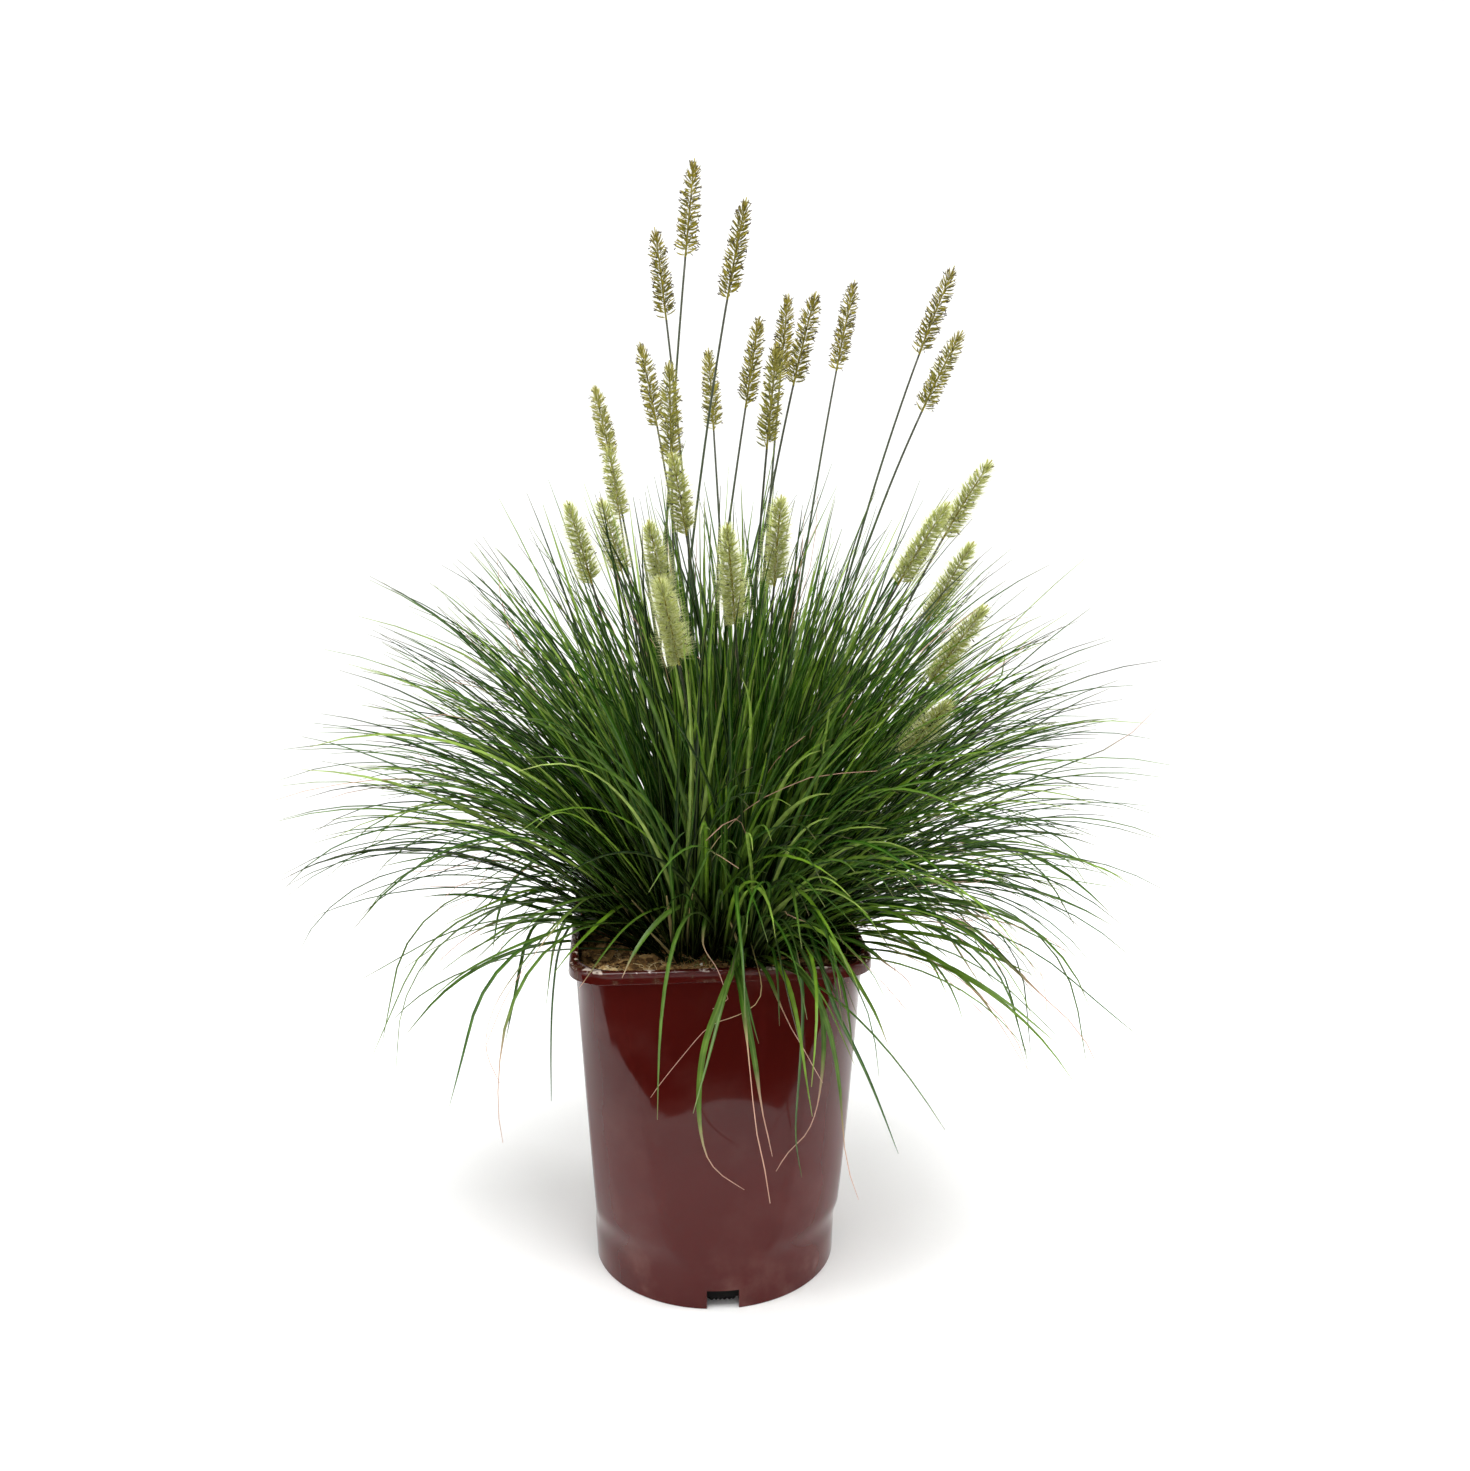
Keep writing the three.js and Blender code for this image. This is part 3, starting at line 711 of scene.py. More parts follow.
def scaled(tree, value, low, high, to_low=0.0, to_high=1.0):
    """Moves a range of numbers to another range, clamped and smooth."""
    node = wire(tree, "ShaderNodeMapRange", {0: value, 1: low, 2: high, 3: to_low, 4: to_high})
    node.interpolation_type = "SMOOTHSTEP"
    return node.outputs[0]


def speckle(tree, scale, detail=3.0, stretch=(1, 1, 1)):
    """Noise in the object's own space, which stays on the piece as it moves."""
    place = wire(tree, "ShaderNodeTexCoord").outputs["Object"]
    mapping = wire(tree, "ShaderNodeMapping", {"Vector": place, "Scale": stretch})
    inputs = {"Vector": mapping.outputs[0], "Scale": scale, "Detail": detail}
    return wire(tree, "ShaderNodeTexNoise", inputs).outputs["Fac"]


def times(tree, a, b, operation="MULTIPLY"):
    """Two numbers multiplied, or put together by another operation."""
    return wire(tree, "ShaderNodeMath", {0: a, 1: b}, operation=operation).outputs[0]


def finish_with(tree, shader):
    """Ends a material's web of nodes with this shader as its surface."""
    wire(tree, "ShaderNodeOutputMaterial", {"Surface": shader})


print("mid grey for the nodes:", round(srgb(128, 128, 128)[0], 3))

# %% [markdown]
# The finish of leaves
#
# A living leaf is green by reflected light and brighter green against the light,
# because light also comes through it. So the material mixes an ordinary surface with
# a translucent one. Each leaf has its own tone on a scale of greens, and some end in
# pinkish straw, where the leaf has dried. Low down in the clump every leaf is painted
# nearly black green: painted shade for the dark inside of the clump. The rib in the
# middle is a little paler.

# %% Leaf material
LEAF_DEEP = srgb(4, 32, 0)
LEAF_MID = srgb(36, 84, 4)
LEAF_GREY = srgb(78, 112, 36)
LEAF_FRESH = srgb(108, 148, 26)
LEAF_YOUNG = srgb(156, 180, 92)
# Painted shade for the low, dark inside of the clump.
LEAF_BASE_PAINTED_SHADE = srgb(3, 16, 0)
LEAF_DRY = srgb(196, 156, 136)
LEAF_STRAW = srgb(184, 168, 116)
LEAF_ROUGHNESS = 0.34
LEAF_GLOSS = 0.28
LIGHT_THROUGH = 0.26


def leaf_material():
    material, tree = new_material("leaf_blade")
    along = mark(tree, "along")
    tone = mark(tree, "tone")
    dry = mark(tree, "dry")
    across = mark(tree, "across")
    green = ramp(tree, tone, [
        (0.0, LEAF_DEEP), (0.3, LEAF_MID), (0.55, LEAF_GREY),
        (0.78, LEAF_FRESH), (1.0, LEAF_YOUNG),
    ])
    # Painted shade: the lower part of each leaf turns nearly black green.
    base = scaled(tree, along, 0.04, 0.58, 0.96, 0.0)
    green = blend(tree, base, green, LEAF_BASE_PAINTED_SHADE)
    rib = scaled(tree, wire(tree, "ShaderNodeMath", {0: across}, operation="ABSOLUTE").outputs[0],
                 0.0, 0.5, 0.22, 0.0)
    green = blend(tree, rib, green, LEAF_YOUNG)
    mottle = scaled(tree, speckle(tree, 90, 4), 0.35, 0.7, 0.78, 1.15)
    grey = wire(tree, "ShaderNodeCombineColor", {0: mottle, 1: mottle, 2: mottle}).outputs[0]
    green = blend(tree, 1.0, green, grey, "MULTIPLY")
    straw = ramp(tree, along, [(0.0, LEAF_STRAW), (0.4, LEAF_STRAW), (0.75, LEAF_DRY)])
    colour = blend(tree, dry, green, straw)
    surface = wire(tree, "ShaderNodeBsdfPrincipled", {
        "Base Color": colour,
        "Roughness": LEAF_ROUGHNESS,
        "Specular IOR Level": LEAF_GLOSS,
    })
    through = wire(tree, "ShaderNodeBsdfTranslucent", {"Color": colour})
    inputs = {"Fac": LIGHT_THROUGH, 1: surface.outputs[0], 2: through.outputs[0]}
    finish_with(tree, wire(tree, "ShaderNodeMixShader", inputs).outputs[0])
    return material


LEAF_FINISH = leaf_material()
print("material", LEAF_FINISH.name)

# %% [markdown]
# A leaf blade
#
# A grass leaf is a narrow ribbon, folded a little along its middle like a gutter,
# which is what holds it up. A flat strip would look like paper. So each blade has four
# points in its section: two edges, the channel on top and the keel below, and the
# section turns slowly about the leaf as it goes.

# %% Blade shapes
BLADE_STEPS = 14
BLADE_FOLD = 0.34
BLADE_KEEL = 0.32
BLADE_WIDEST = 0.3
BLADE_TIP = 0.3
BLADE_DRAWN_OUT = 2.7
TIP_CURLS_FROM = 0.8
THREAD_LEAST = 0.32
THREAD_SHARE = 0.08


def fine_path(root, habit, wobble, curl):
    """Centre line of a blade with its directions, a little wavy, curled at the tip."""
    t = (np.arange(BLADE_STEPS * 2) + 0.5) / (BLADE_STEPS * 2)
    turned = np.minimum(t / habit["settled"], 1) ** habit["power"]
    tip = np.clip((t - TIP_CURLS_FROM) / (1 - TIP_CURLS_FROM), 0, 1)
    wave = np.sin(t * wobble[1] + wobble[2]) - math.sin(wobble[2])
    pitch = np.radians(habit["start"] - habit["bend"] * turned) + curl[0] * tip
    heading = habit["azimuth"] + habit["sweep"] * t + wobble[0] * wave * t + curl[1] * tip
    flat = np.cos(pitch)
    steps = np.stack([flat * np.cos(heading), flat * np.sin(heading), np.sin(pitch)], 1)
    steps *= habit["length"] / (BLADE_STEPS * 2)
    points = np.concatenate([np.zeros((1, 3)), np.cumsum(steps, 0)]) + np.array(root)
    heading = np.concatenate([heading[:1], heading])
    return points[::2], heading[::2]


def blade_widths(width, base, count):
    """Narrow in the sheath, widest a third of the way up, drawn out to a fine tip."""
    t = np.linspace(0, 1, count)
    rising = mix(base, width, np.sin(np.clip(t / BLADE_WIDEST, 0, 1) * math.pi / 2))
    beyond = np.clip((t - BLADE_WIDEST) / (1 - BLADE_WIDEST), 0, 1)
    falling = mix(width, BLADE_TIP, beyond ** BLADE_DRAWN_OUT)
    return np.where(t < BLADE_WIDEST, rising, falling)


def blade_points(path, heading, widths, twist):
    """Four points for each step: left edge, channel, right edge, keel."""
    along = unit(np.gradient(path, axis=0))
    side = np.stack([-np.sin(heading), np.cos(heading), np.zeros(len(heading))], 1)
    side = unit(side - along * (side * along).sum(1, keepdims=True))
    upper = np.cross(along, side)
    turn = twist * np.linspace(0, 1, len(path))[:, None]
    turned_side = side * np.cos(turn) + upper * np.sin(turn)
    turned_upper = upper * np.cos(turn) - side * np.sin(turn)
    half = widths[:, None] / 2
    edge_lift = turned_upper * half * BLADE_FOLD
    keel = np.minimum(BLADE_KEEL, half)
    left = path - turned_side * half + edge_lift
    right = path + turned_side * half + edge_lift
    return np.stack([left, path, right, path - turned_upper * keel], 1).reshape(-1, 3)


def tube_faces(rings, sides):
    """Quads round a tube of rings, with both ends closed by a fan from one corner."""
    k, i = np.meshgrid(np.arange(rings - 1), np.arange(sides), indexing="ij")
    a = k * sides + i
    b = k * sides + (i + 1) % sides
    quads = np.stack([a, b, b + sides, a + sides], -1).reshape(-1, 4)
    fan = np.arange(1, sides - 1)
    last = (rings - 1) * sides
    low = np.stack([np.zeros_like(fan), fan + 1, fan], 1)
    high = np.stack([np.full_like(fan, last), last + fan, last + fan + 1], 1)
    return quads, np.concatenate([low, high])


def add_blade(pile, path, heading, width, base, twist, tone, dry):
    """One blade along a path. Where it is dry it has shrunk to a thread."""
    count = len(path)
    widths = blade_widths(width, base, count)
    widths = mix(widths, np.minimum(widths, THREAD_LEAST + width * THREAD_SHARE), dry)
    quads, ends = tube_faces(count, 4)
    pile.add(blade_points(path, heading, widths, twist)[None], quads[:, ::-1], ends[:, ::-1],
             along=np.repeat(np.linspace(0, 1, count), 4),
             across=np.tile([-1.0, 0.0, 1.0, 0.0], count),
             tone=tone, dry=np.repeat(dry, 4))


print("triangles in a blade:", BLADE_STEPS * 8 + 4)

# %% [markdown]
# More leaves than the solids
#
# The solid model has up to seven leaves to a shoot, enough to give the clump its form.
# The real clump has many times more. The same habits give them, with their roots spread
# round each shoot. The outer shoots also get a skirt: leaves that leave the clump low
# and bow down, and a few that have dried to threads. A leaf that would leave the
# model's box is made shorter, and one that would cut into the pot is drawn again.

# %% Leaves of one shoot
EXTRA_LEAVES = 64
OUTER_LEAVES = {"fallen": 1, "drooping": 10, "thread": 2}
ROOT_DISC = 10.0
BOX_MARGIN = 2.0
POT_MARGIN = 1.2
OVER_WALL = BODY_HALF_WIDTH - WALL - 2
SHORTENINGS = 40
SHORTER = 0.975
TRIES = 25
STANDING_SLIM = 0.68
FALLEN_SLIM = 0.88
DRY_SHARE = 0.045
FALLEN_DRY_SHARE = 0.34
WHOLLY_DRY_SHARE = 0.015
KINK = 3.2
PARTING_HEADING = math.radians(-128)
PARTING_WIDTH = math.radians(36)
FRONT_HEADING = math.radians(-84)
FRONT_WIDTH = math.radians(34)
FRONT_DROPPED = 0.92
THREAD_WIDTH = 1.3
LEAF_TONES = (0.02, 0.1, 0.18, 0.26, 0.36, 0.5, 0.64, 0.9)
LOOKS_SEED = 77


def inside_box(path):
    """True where a path stays in the solid model's box, by a margin."""
    low = np.array(CAD_BOX[0]) / MM + BOX_MARGIN
    high = np.array(CAD_BOX[1]) / MM - BOX_MARGIN
    return bool((path[:, :2] > low[:2]).all() and (path < high).all())


def cuts_pot(path, start):
    """True where a fine leaf would go into the lip, the wall or the potting mix."""
    far = np.abs(path[:, :2]).max(1)
    for at, reach in zip(path[start:], far[start:]):
        floor = POT_HEIGHT if reach > OVER_WALL else soil_height(at[0], at[1])
        if reach < LIP_HALF_WIDTH + 2 and at[2] < floor + POT_MARGIN:
            return True
    return False


def fitted_leaf(root, habit, wobble, curl, dry, chance):
    """A fine path, kinked where it is dry, shortened until it stays in the box."""
    habit = dict(habit)
    turns = np.array([[chance() - 0.5, chance() - 0.5, chance() - 0.5] for _ in dry])
    dry = dry[:, None]
    kinks = np.cumsum(np.cumsum(turns * dry, 0) * dry, 0) * KINK
    for _ in range(SHORTENINGS):
        path, heading = fine_path(root, habit, wobble, curl)
        if inside_box(path + kinks):
            break
        habit["length"] *= SHORTER
    return outside_pot(path + kinks), heading


def outside_pot(path):
    """Moves what a kink pushed into the lip or the wall back out of it."""
    far = np.abs(path[:, :2]).max(1)
    reach = LIP_HALF_WIDTH + 1.5
    cutting = (path[:, 2] < POT_HEIGHT) & (far > OVER_WALL) & (far < reach)
    scale = np.where(cutting, reach / far, 1.0)
    return path * np.stack([scale, scale, np.ones(len(path))], 1)


def dryness(chance, fallen):
    """How dry a leaf is along its length: its very tip, its end, or nearly all of it."""
    t = np.linspace(0, 1, BLADE_STEPS + 1)
    draw = chance()
    if draw > (FALLEN_DRY_SHARE if fallen else DRY_SHARE):
        return np.clip((t - 0.97) / 0.16, 0, 1)
    start = mix(0.42, 0.75, chance()) if fallen else mix(0.68, 0.92, chance())
    if draw < WHOLLY_DRY_SHARE:
        start = 0.1
    return np.clip((t - start) / 0.12, 0, 1)


def add_leaf(pile, root, habit, chance):
    """One leaf with its own wave, curl, twist, tone and dryness."""
    fallen = habit["fallen"]
    dry = dryness(chance, fallen)
    if habit["width"] < THREAD_WIDTH:
        dry = np.ones(BLADE_STEPS + 1)
    dried = float(dry[-2] > 0.3)
    wobble = ((chance() - 0.5) * mix(0.4, 1.0, dried), 4 + 4 * chance(), chance() * 6.3)
    curl = ((chance() - 0.5) * 1.5 * dried, (chance() - 0.5) * 2.6 * dried)
    path, heading = fitted_leaf(root, habit, wobble, curl, dry, chance)
    twist = (chance() - 0.5) * (3.6 if fallen else 2.2)
    tone = chance()
    tone = 0.24 + 0.5 * tone if fallen else LEAF_TONES[int(tone * len(LEAF_TONES))]
    tone = np.clip(tone + (chance() - 0.5) * 0.2, 0, 1)
    width = habit["width"] * (FALLEN_SLIM if fallen else STANDING_SLIM)
    add_blade(pile, path, heading, width, BASE_WIDTH, twist, tone, dry)


def drooping_habit(azimuth, chance):
    """A leaf of the skirt, which leaves the clump low and bows down at its end."""
    return {
        "azimuth": azimuth + (chance() - 0.5) * 0.9,
        "start": mix(14, 50, chance()),
        "bend": mix(42, 98, chance()),
        "power": 1.3,
        "settled": mix(0.75, 1.0, chance()),
        "sweep": (chance() - 0.5) * 1.1,
        "length": mix(150, 260, chance()),
        "width": mix(2.8, 4.2, chance()),
        "fallen": True,
    }


def thread_habit(azimuth, chance):
    """A thin dry leaf, shrivelled to a thread, that hangs over the lip."""
    return {
        "azimuth": azimuth + (chance() - 0.5) * 1.4,
        "start": mix(50, 75, chance()),
        "bend": mix(130, 170, chance()),
        "power": 1.0,
        "settled": mix(0.4, 0.7, chance()),
        "sweep": (chance() - 0.5) * 3,
        "length": mix(90, 170, chance()),
        "width": THREAD_WIDTH * 0.9,
        "fallen": True,
    }


HABITS = {"fallen": fallen_habit, "drooping": drooping_habit, "thread": thread_habit}


def extra_habit(place, chance, kind="standing"):
    """Root and habit of one more leaf near a shoot."""
    turn = chance() * 2 * math.pi
    out = math.sqrt(chance()) * ROOT_DISC
    x = place["x"] + math.cos(turn) * out
    y = place["y"] + math.sin(turn) * out
    out_x = (x - CROWN_X) / CROWN_RADIUS
    out_y = (y - CROWN_Y) / CROWN_RADIUS
    around = chance() * 2 * math.pi
    if kind != "standing":
        around = math.atan2(out_y, out_x) + (chance() - 0.5) * 1.5
    own = mix(0.12, 0.62, chance() ** 1.3)
    lean_x = out_x * OUTWARD_LEAN + math.cos(around) * own
    lean_y = out_y * OUTWARD_LEAN + math.sin(around) * own
    azimuth = math.atan2(lean_y, lean_x)
    lean = math.hypot(lean_x, lean_y)
    if kind == "standing":
        habit = standing_habit(lean, azimuth, chance)
        habit["width"] *= mix(0.65, 1.12, chance())
        habit["bend"] *= mix(0.45, 1.0, chance())
    else:
        habit = HABITS[kind](azimuth, chance)
    return (x, y, soil_height(x, y) - 2), habit


def heads_for(habit, heading, width):
    """True where a leaf leaves the clump within so much of a heading."""
    off = (habit["azimuth"] - heading + math.pi) % (2 * math.pi) - math.pi
    return abs(off) < width


def unwanted(habit, kind, chance):
    """The leaves part at the front left, and few of the skirt hang at the front."""
    if heads_for(habit, PARTING_HEADING, PARTING_WIDTH) and habit["start"] < 76:
        return True
    at_front = heads_for(habit, FRONT_HEADING, FRONT_WIDTH)
    return kind != "standing" and at_front and chance() < FRONT_DROPPED


def add_extra_leaf(pile, place, chance, kind="standing"):
    """One more leaf for a shoot, drawn again while it is unwanted or cuts the pot."""
    for _ in range(TRIES):
        root, habit = extra_habit(place, chance, kind)
        habit["length"] *= mix(0.6, 1.05, chance() ** 0.6)
        path, _ = fine_path(root, habit, (0, 1, 0), (0, 0))
        if not unwanted(habit, kind, chance) and not cuts_pot(path, 2):
            add_leaf(pile, root, habit, chance)
            break


def is_outer(place):
    """True for a shoot near the edge of the clump."""
    return math.hypot(place["x"] - CROWN_X, place["y"] - CROWN_Y) / CROWN_RADIUS > 0.7


chance = seeded_random(LOOKS_SEED)
leaf_piles = []
for place in places:
    pile = Pile("along", "across", "tone", "dry")
    for points, habit in place["leaves"]:
        add_leaf(pile, points[0], habit, chance)
    for _ in range(EXTRA_LEAVES):
        add_extra_leaf(pile, place, chance)
    if is_outer(place):
        for kind, count in OUTER_LEAVES.items():
            for _ in range(count):
                add_extra_leaf(pile, place, chance, kind)
    leaf_piles.append(pile)
print("leaves:", sum(len(pile.points) for pile in leaf_piles))

# %% [markdown]
# Leaves placed one by one
#
# Chance gives a good crowd, but the few leaves nearest to the viewer, which lie over
# the lip in front, are what the eye goes to. These are given as points that each leaf
# passes. Cutting the corners of such a chain three times makes it smooth.
# Each row has the leaf's width, its tone on the scale of greens, how far along it
# turns dry, and its points, in millimetres from the middle of the pot's foot.

# %% Leaves over the lip
PLACED_STEPS = 30
PLACED_LEAVES = [
    (4.4, 0.62, 0.74, [(14, -46, 240), (20, -54, 270), (21, -64, 284), (16, -82, 272),
                       (9, -101, 259), (-3, -116, 236), (-14, -124, 212), (-18, -126, 182),
                       (-17, -122, 148), (-10, -118, 122), (12, -116, 105)]),
    (3.4, 0.34, 0.97, [(18, -44, 240), (22, -54, 262), (30, -68, 269), (38, -80, 268),
                       (46, -100, 261), (49, -114, 243), (48, -120, 216), (46, -120, 182),
                       (44, -117, 142), (50, -112, 110)]),
    (3.2, 0.5, 0.6, [(26, -44, 240), (34, -60, 264), (43, -80, 268), (51, -99, 261),
                     (58, -113, 246), (63, -121, 215), (60, -120, 167), (53, -116, 142),
                     (41, -113, 130), (33, -112, 115)]),
    (4.0, 0.3, 1.0, [(40, -34, 240), (48, -50, 279), (57, -82, 270), (62, -108, 252),
                     (68, -121, 230), (80, -128, 207), (91, -132, 183), (109, -134, 136)]),
    (4.2, 0.66, 0.9, [(48, -30, 240), (54, -45, 282), (63, -70, 276), (69, -92, 265),
                      (78, -107, 254), (86, -115, 241), (95, -120, 226), (103, -122, 205)]),
    (2.6, 0.8, 0.55, [(54, -24, 240), (66, -45, 257), (77, -75, 262), (83, -99, 259),
                      (96, -112, 249), (116, -124, 227)]),
    (4.8, 0.56, 0.86, [(2, -46, 240), (-4, -48, 267), (-14, -52, 277), (-28, -66, 282),
                       (-40, -79, 278), (-50, -89, 270), (-59, -99, 260), (-65, -106, 249)]),
    (3.6, 0.6, 0.84, [(-8, -36, 242), (-18, -36, 268), (-32, -42, 275), (-50, -60, 276),
                      (-64, -75, 270), (-74, -88, 262), (-82, -99, 255), (-92, -108, 244)]),
    (4.4, 0.7, 1.0, [(-22, -24, 242), (-44, -24, 268), (-63, -32, 274), (-76, -51, 270),
                     (-87, -68, 265), (-98, -84, 259), (-108, -96, 250)]),
    (3.2, 0.4, 0.42, [(-4, -50, 240), (-8, -60, 266), (-9, -68, 278), (-12, -80, 268),
                      (-13, -92, 262), (-4, -104, 253), (0, -109, 240), (3, -111, 235),
                      (-3, -111, 231), (-8, -110, 228)]),
    (2.4, 0.5, 0.16, [(22, -50, 240), (20, -66, 262), (19, -94, 260), (24, -109, 245),
                      (22, -112, 232), (8, -113, 224), (-10, -112, 219), (-24, -110, 201),
                      (-41, -109, 179), (-48, -108, 168)]),
    (3.0, 0.66, 0.6, [(-34, -10, 242), (-60, -12, 268), (-88, -22, 276), (-108, -42, 266),
                      (-130, -70, 247), (-148, -90, 227), (-155, -95, 200), (-145, -92, 174)]),
    (3.0, 0.9, 0.5, [(-36, -18, 242), (-58, -22, 272), (-80, -30, 283), (-99, -52, 276),
                     (-119, -85, 262), (-138, -108, 241), (-151, -117, 210)]),
    (3.6, 0.56, 1.0, [(-30, -10, 242), (-40, -14, 268), (-54, -20, 277), (-78, -38, 282),
                      (-108, -62, 284), (-128, -80, 274)]),
    (3.8, 0.5, 1.0, [(-34, -22, 242), (-56, -30, 260), (-82, -42, 266), (-112, -66, 266),
                     (-139, -86, 262), (-164, -102, 255), (-184, -112, 241)]),
    (3.4, 0.6, 1.0, [(-42, -6, 242), (-76, -12, 258), (-108, -20, 260), (-140, -40, 259),
                     (-164, -54, 253), (-184, -65, 241)]),
    (3.4, 0.2, 1.0, [(-44, 0, 242), (-72, -4, 260), (-96, -11, 257), (-108, -20, 243),
                     (-113, -30, 207), (-115, -32, 169), (-116, -30, 130)]),
]


def smooth_path(points, count):
    """Even points along a chain whose corners have been cut three times."""
    points = np.array(points, float)
    for _ in range(3):
        early = points[:-1] * 0.75 + points[1:] * 0.25
        late = points[:-1] * 0.25 + points[1:] * 0.75
        between = np.stack([early, late], 1).reshape(-1, 3)
        points = np.concatenate([points[:1], between, points[-1:]])
    steps = np.linalg.norm(np.diff(points, axis=0), axis=1)
    lengths = np.concatenate([[0], np.cumsum(steps)])
    even = np.linspace(0, lengths[-1], count)
    return np.stack([np.interp(even, lengths, points[:, k]) for k in range(3)], 1)


def nearest_shoot(point):
    """The number of the shoot that a point on the mix is nearest to."""
    gaps = [math.hypot(place["x"] - point[0], place["y"] - point[1]) for place in places]
    return gaps.index(min(gaps))


for width, tone, dry_from, points in PLACED_LEAVES:
    path = smooth_path(points, PLACED_STEPS)
    across = path[PLACED_STEPS // 2] - path[0]
    heading = np.full(PLACED_STEPS, math.atan2(across[1], across[0]))
    dry = np.clip((np.linspace(0, 1, PLACED_STEPS) - dry_from) / 0.16, 0, 1)
    pile = leaf_piles[nearest_shoot(points[0])]
    add_blade(pile, path, heading, width, BASE_WIDTH, (chance() - 0.5) * 1.6, tone, dry)
print("leaves placed by hand:", len(PLACED_LEAVES))

# %% [markdown]
# Sheaths and flowering stems
#
# Each tiller of a grass is a tube of leaf sheaths, one inside the other, and the
# flowering stem grows up through it. The stem is round, greyish green, and has a ring
# at each joint. Tubes swept along a curve make both, and a stem also carries one
# short leaf, halfway up, that hugs it.

# %% Tubes along a path
STEM_SIDES = 7
STEM_RINGS = 34
STEM_BASE_RADIUS = 1.05
STEM_TIP_RADIUS = 0.74
SHEATHS_PER_SHOOT = 9


def swept_tube(path, radii, sides):
    """Points of a tube round a path."""
    along = unit(np.gradient(path, axis=0))
    start = np.cross(along, (0.31, 0.87, 0.38))
    a = unit(start)
    b = np.cross(along, a)
    angle = np.arange(sides) / sides * 2 * math.pi
    ring = a[:, None] * np.cos(angle)[None, :, None] + b[:, None] * np.sin(angle)[None, :, None]
    return (path[:, None] + ring * np.asarray(radii)[:, None, None]).reshape(-1, 3)


def add_tube(pile, path, radii, sides, **marks):
    """A tube with closed ends. Its marks have one value each, or one for each ring."""
    quads, ends = tube_faces(len(path), sides)
    spread = {name: np.repeat(np.broadcast_to(v, len(path)), sides) for name, v in marks.items()}
    pile.add(swept_tube(path, radii, sides)[None], quads, ends, **spread)


def add_sheath(pile, place, chance):
    """The tube of a tiller: it follows the first part of a leaf."""
    root, habit = extra_habit(place, chance)
    habit["length"] = 200
    path, _ = fine_path(root, habit, (0, 1, 0), (0, 0))
    path = path[:5]
    thick = mix(1.1, 1.7, chance())
    dry = float(chance() < 0.22)
    add_tube(pile, path, np.array([1, 0.95, 0.85, 0.7, 0.3]) * thick, 6,
             along=np.linspace(0, 0.1, 5), across=1.0, tone=mix(0.3, 0.8, chance()), dry=dry * 0.8)


def add_flag_leaf(pile, place, chance):
    """The one short leaf on a flowering stem."""
    curve = place["stem"]
    share = place["neck"] * mix(0.36, 0.5, chance())
    root = curve.along(share, share + 0.02, 1)
    lean = unit(root[1] - root[0])
    habit = standing_habit(0.1, math.atan2(lean[1], lean[0]) + (chance() - 0.5), chance)
    habit["start"] = math.degrees(math.asin(min(1, lean[2]))) + 4
    habit["bend"] = mix(10, 40, chance())
    habit["length"] = mix(90, 150, chance())
    habit["width"] = mix(2.0, 2.8, chance())
    add_leaf(pile, root[0], habit, chance)


def add_stem(pile, place, chance):
    """A flowering stem from its shoot to the neck of its head, with two joints."""
    path = place["stem"].along(0, place["neck"], STEM_RINGS)
    t = np.linspace(0, 1, STEM_RINGS + 1)
    radii = mix(STEM_BASE_RADIUS, STEM_TIP_RADIUS, t)
    joints = np.zeros(len(t))
    for at in (0.16, 0.36):
        joints += np.exp(-((t - at - 0.06 * chance()) / 0.012) ** 2)
    add_tube(pile, path, radii * (1 + 0.35 * joints), STEM_SIDES, up=t, joint=joints)


stem_piles = []
for place, pile in zip(places, leaf_piles):
    for _ in range(SHEATHS_PER_SHOOT):
        add_sheath(pile, place, chance)
    add_flag_leaf(pile, place, chance)
    stem_pile = Pile("up", "joint")
    add_stem(stem_pile, place, chance)
    stem_piles.append(stem_pile)
print("stems:", len(stem_piles))

# %% [markdown]
# The stem's finish: grey green, duller and a little purple towards the head, with
# pale joints.

# %% Stem material
STEM_GREEN = srgb(44, 64, 22)
STEM_GREY = srgb(44, 46, 28)
STEM_JOINT = srgb(104, 108, 52)


def stem_material():
    material, tree = new_material("stem_skin")
    colour = ramp(tree, mark(tree, "up"), [(0.0, STEM_GREEN), (0.6, STEM_GREEN), (1.0, STEM_GREY)])
    colour = blend(tree, mark(tree, "joint"), colour, STEM_JOINT)
    surface = wire(tree, "ShaderNodeBsdfPrincipled", {"Base Color": colour, "Roughness": 0.5})
    finish_with(tree, surface.outputs[0])
    return material


STEM_FINISH = stem_material()
print("material", STEM_FINISH.name)

# %% [markdown]
# Put the shoots together
#
# Each shoot's leaves become one piece, which stands for that shoot's solid, and its
# stem another. Both ride on the plant's one body.

# %% Shoots
leaf_pieces = []
stem_pieces = []
for number, (leaves, stem) in enumerate(zip(leaf_piles, stem_piles), 1):
    leaf_piece = make_piece(f"shoot_{number:02d}_leaves", leaves, LEAF_FINISH, 60)
    stem_piece = make_piece(f"shoot_{number:02d}_stem", stem, STEM_FINISH)
    for piece in (leaf_piece, stem_piece):
        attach(piece, "root")
    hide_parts(f"shoot_{number:02d}")
    leaf_pieces.append(leaf_piece)
    stem_pieces.append(stem_piece)
print("triangles in leaves:", triangles_of(leaf_pieces), "in stems:", triangles_of(stem_pieces))

# %% [markdown]
# Flower heads
#
# A bottlebrush head is a thin stalk with well over a hundred spikelets, set round it
# in close rows. Each spikelet is a small pointed spindle that stands nearly straight
# out, among fine bristles. Many still carry dark anthers. Low on the head a few stand
# apart, and at the tip they crowd and point upwards. One spindle, one bristle and one
# anther are drawn once, and then placed thousands of times by arrays.

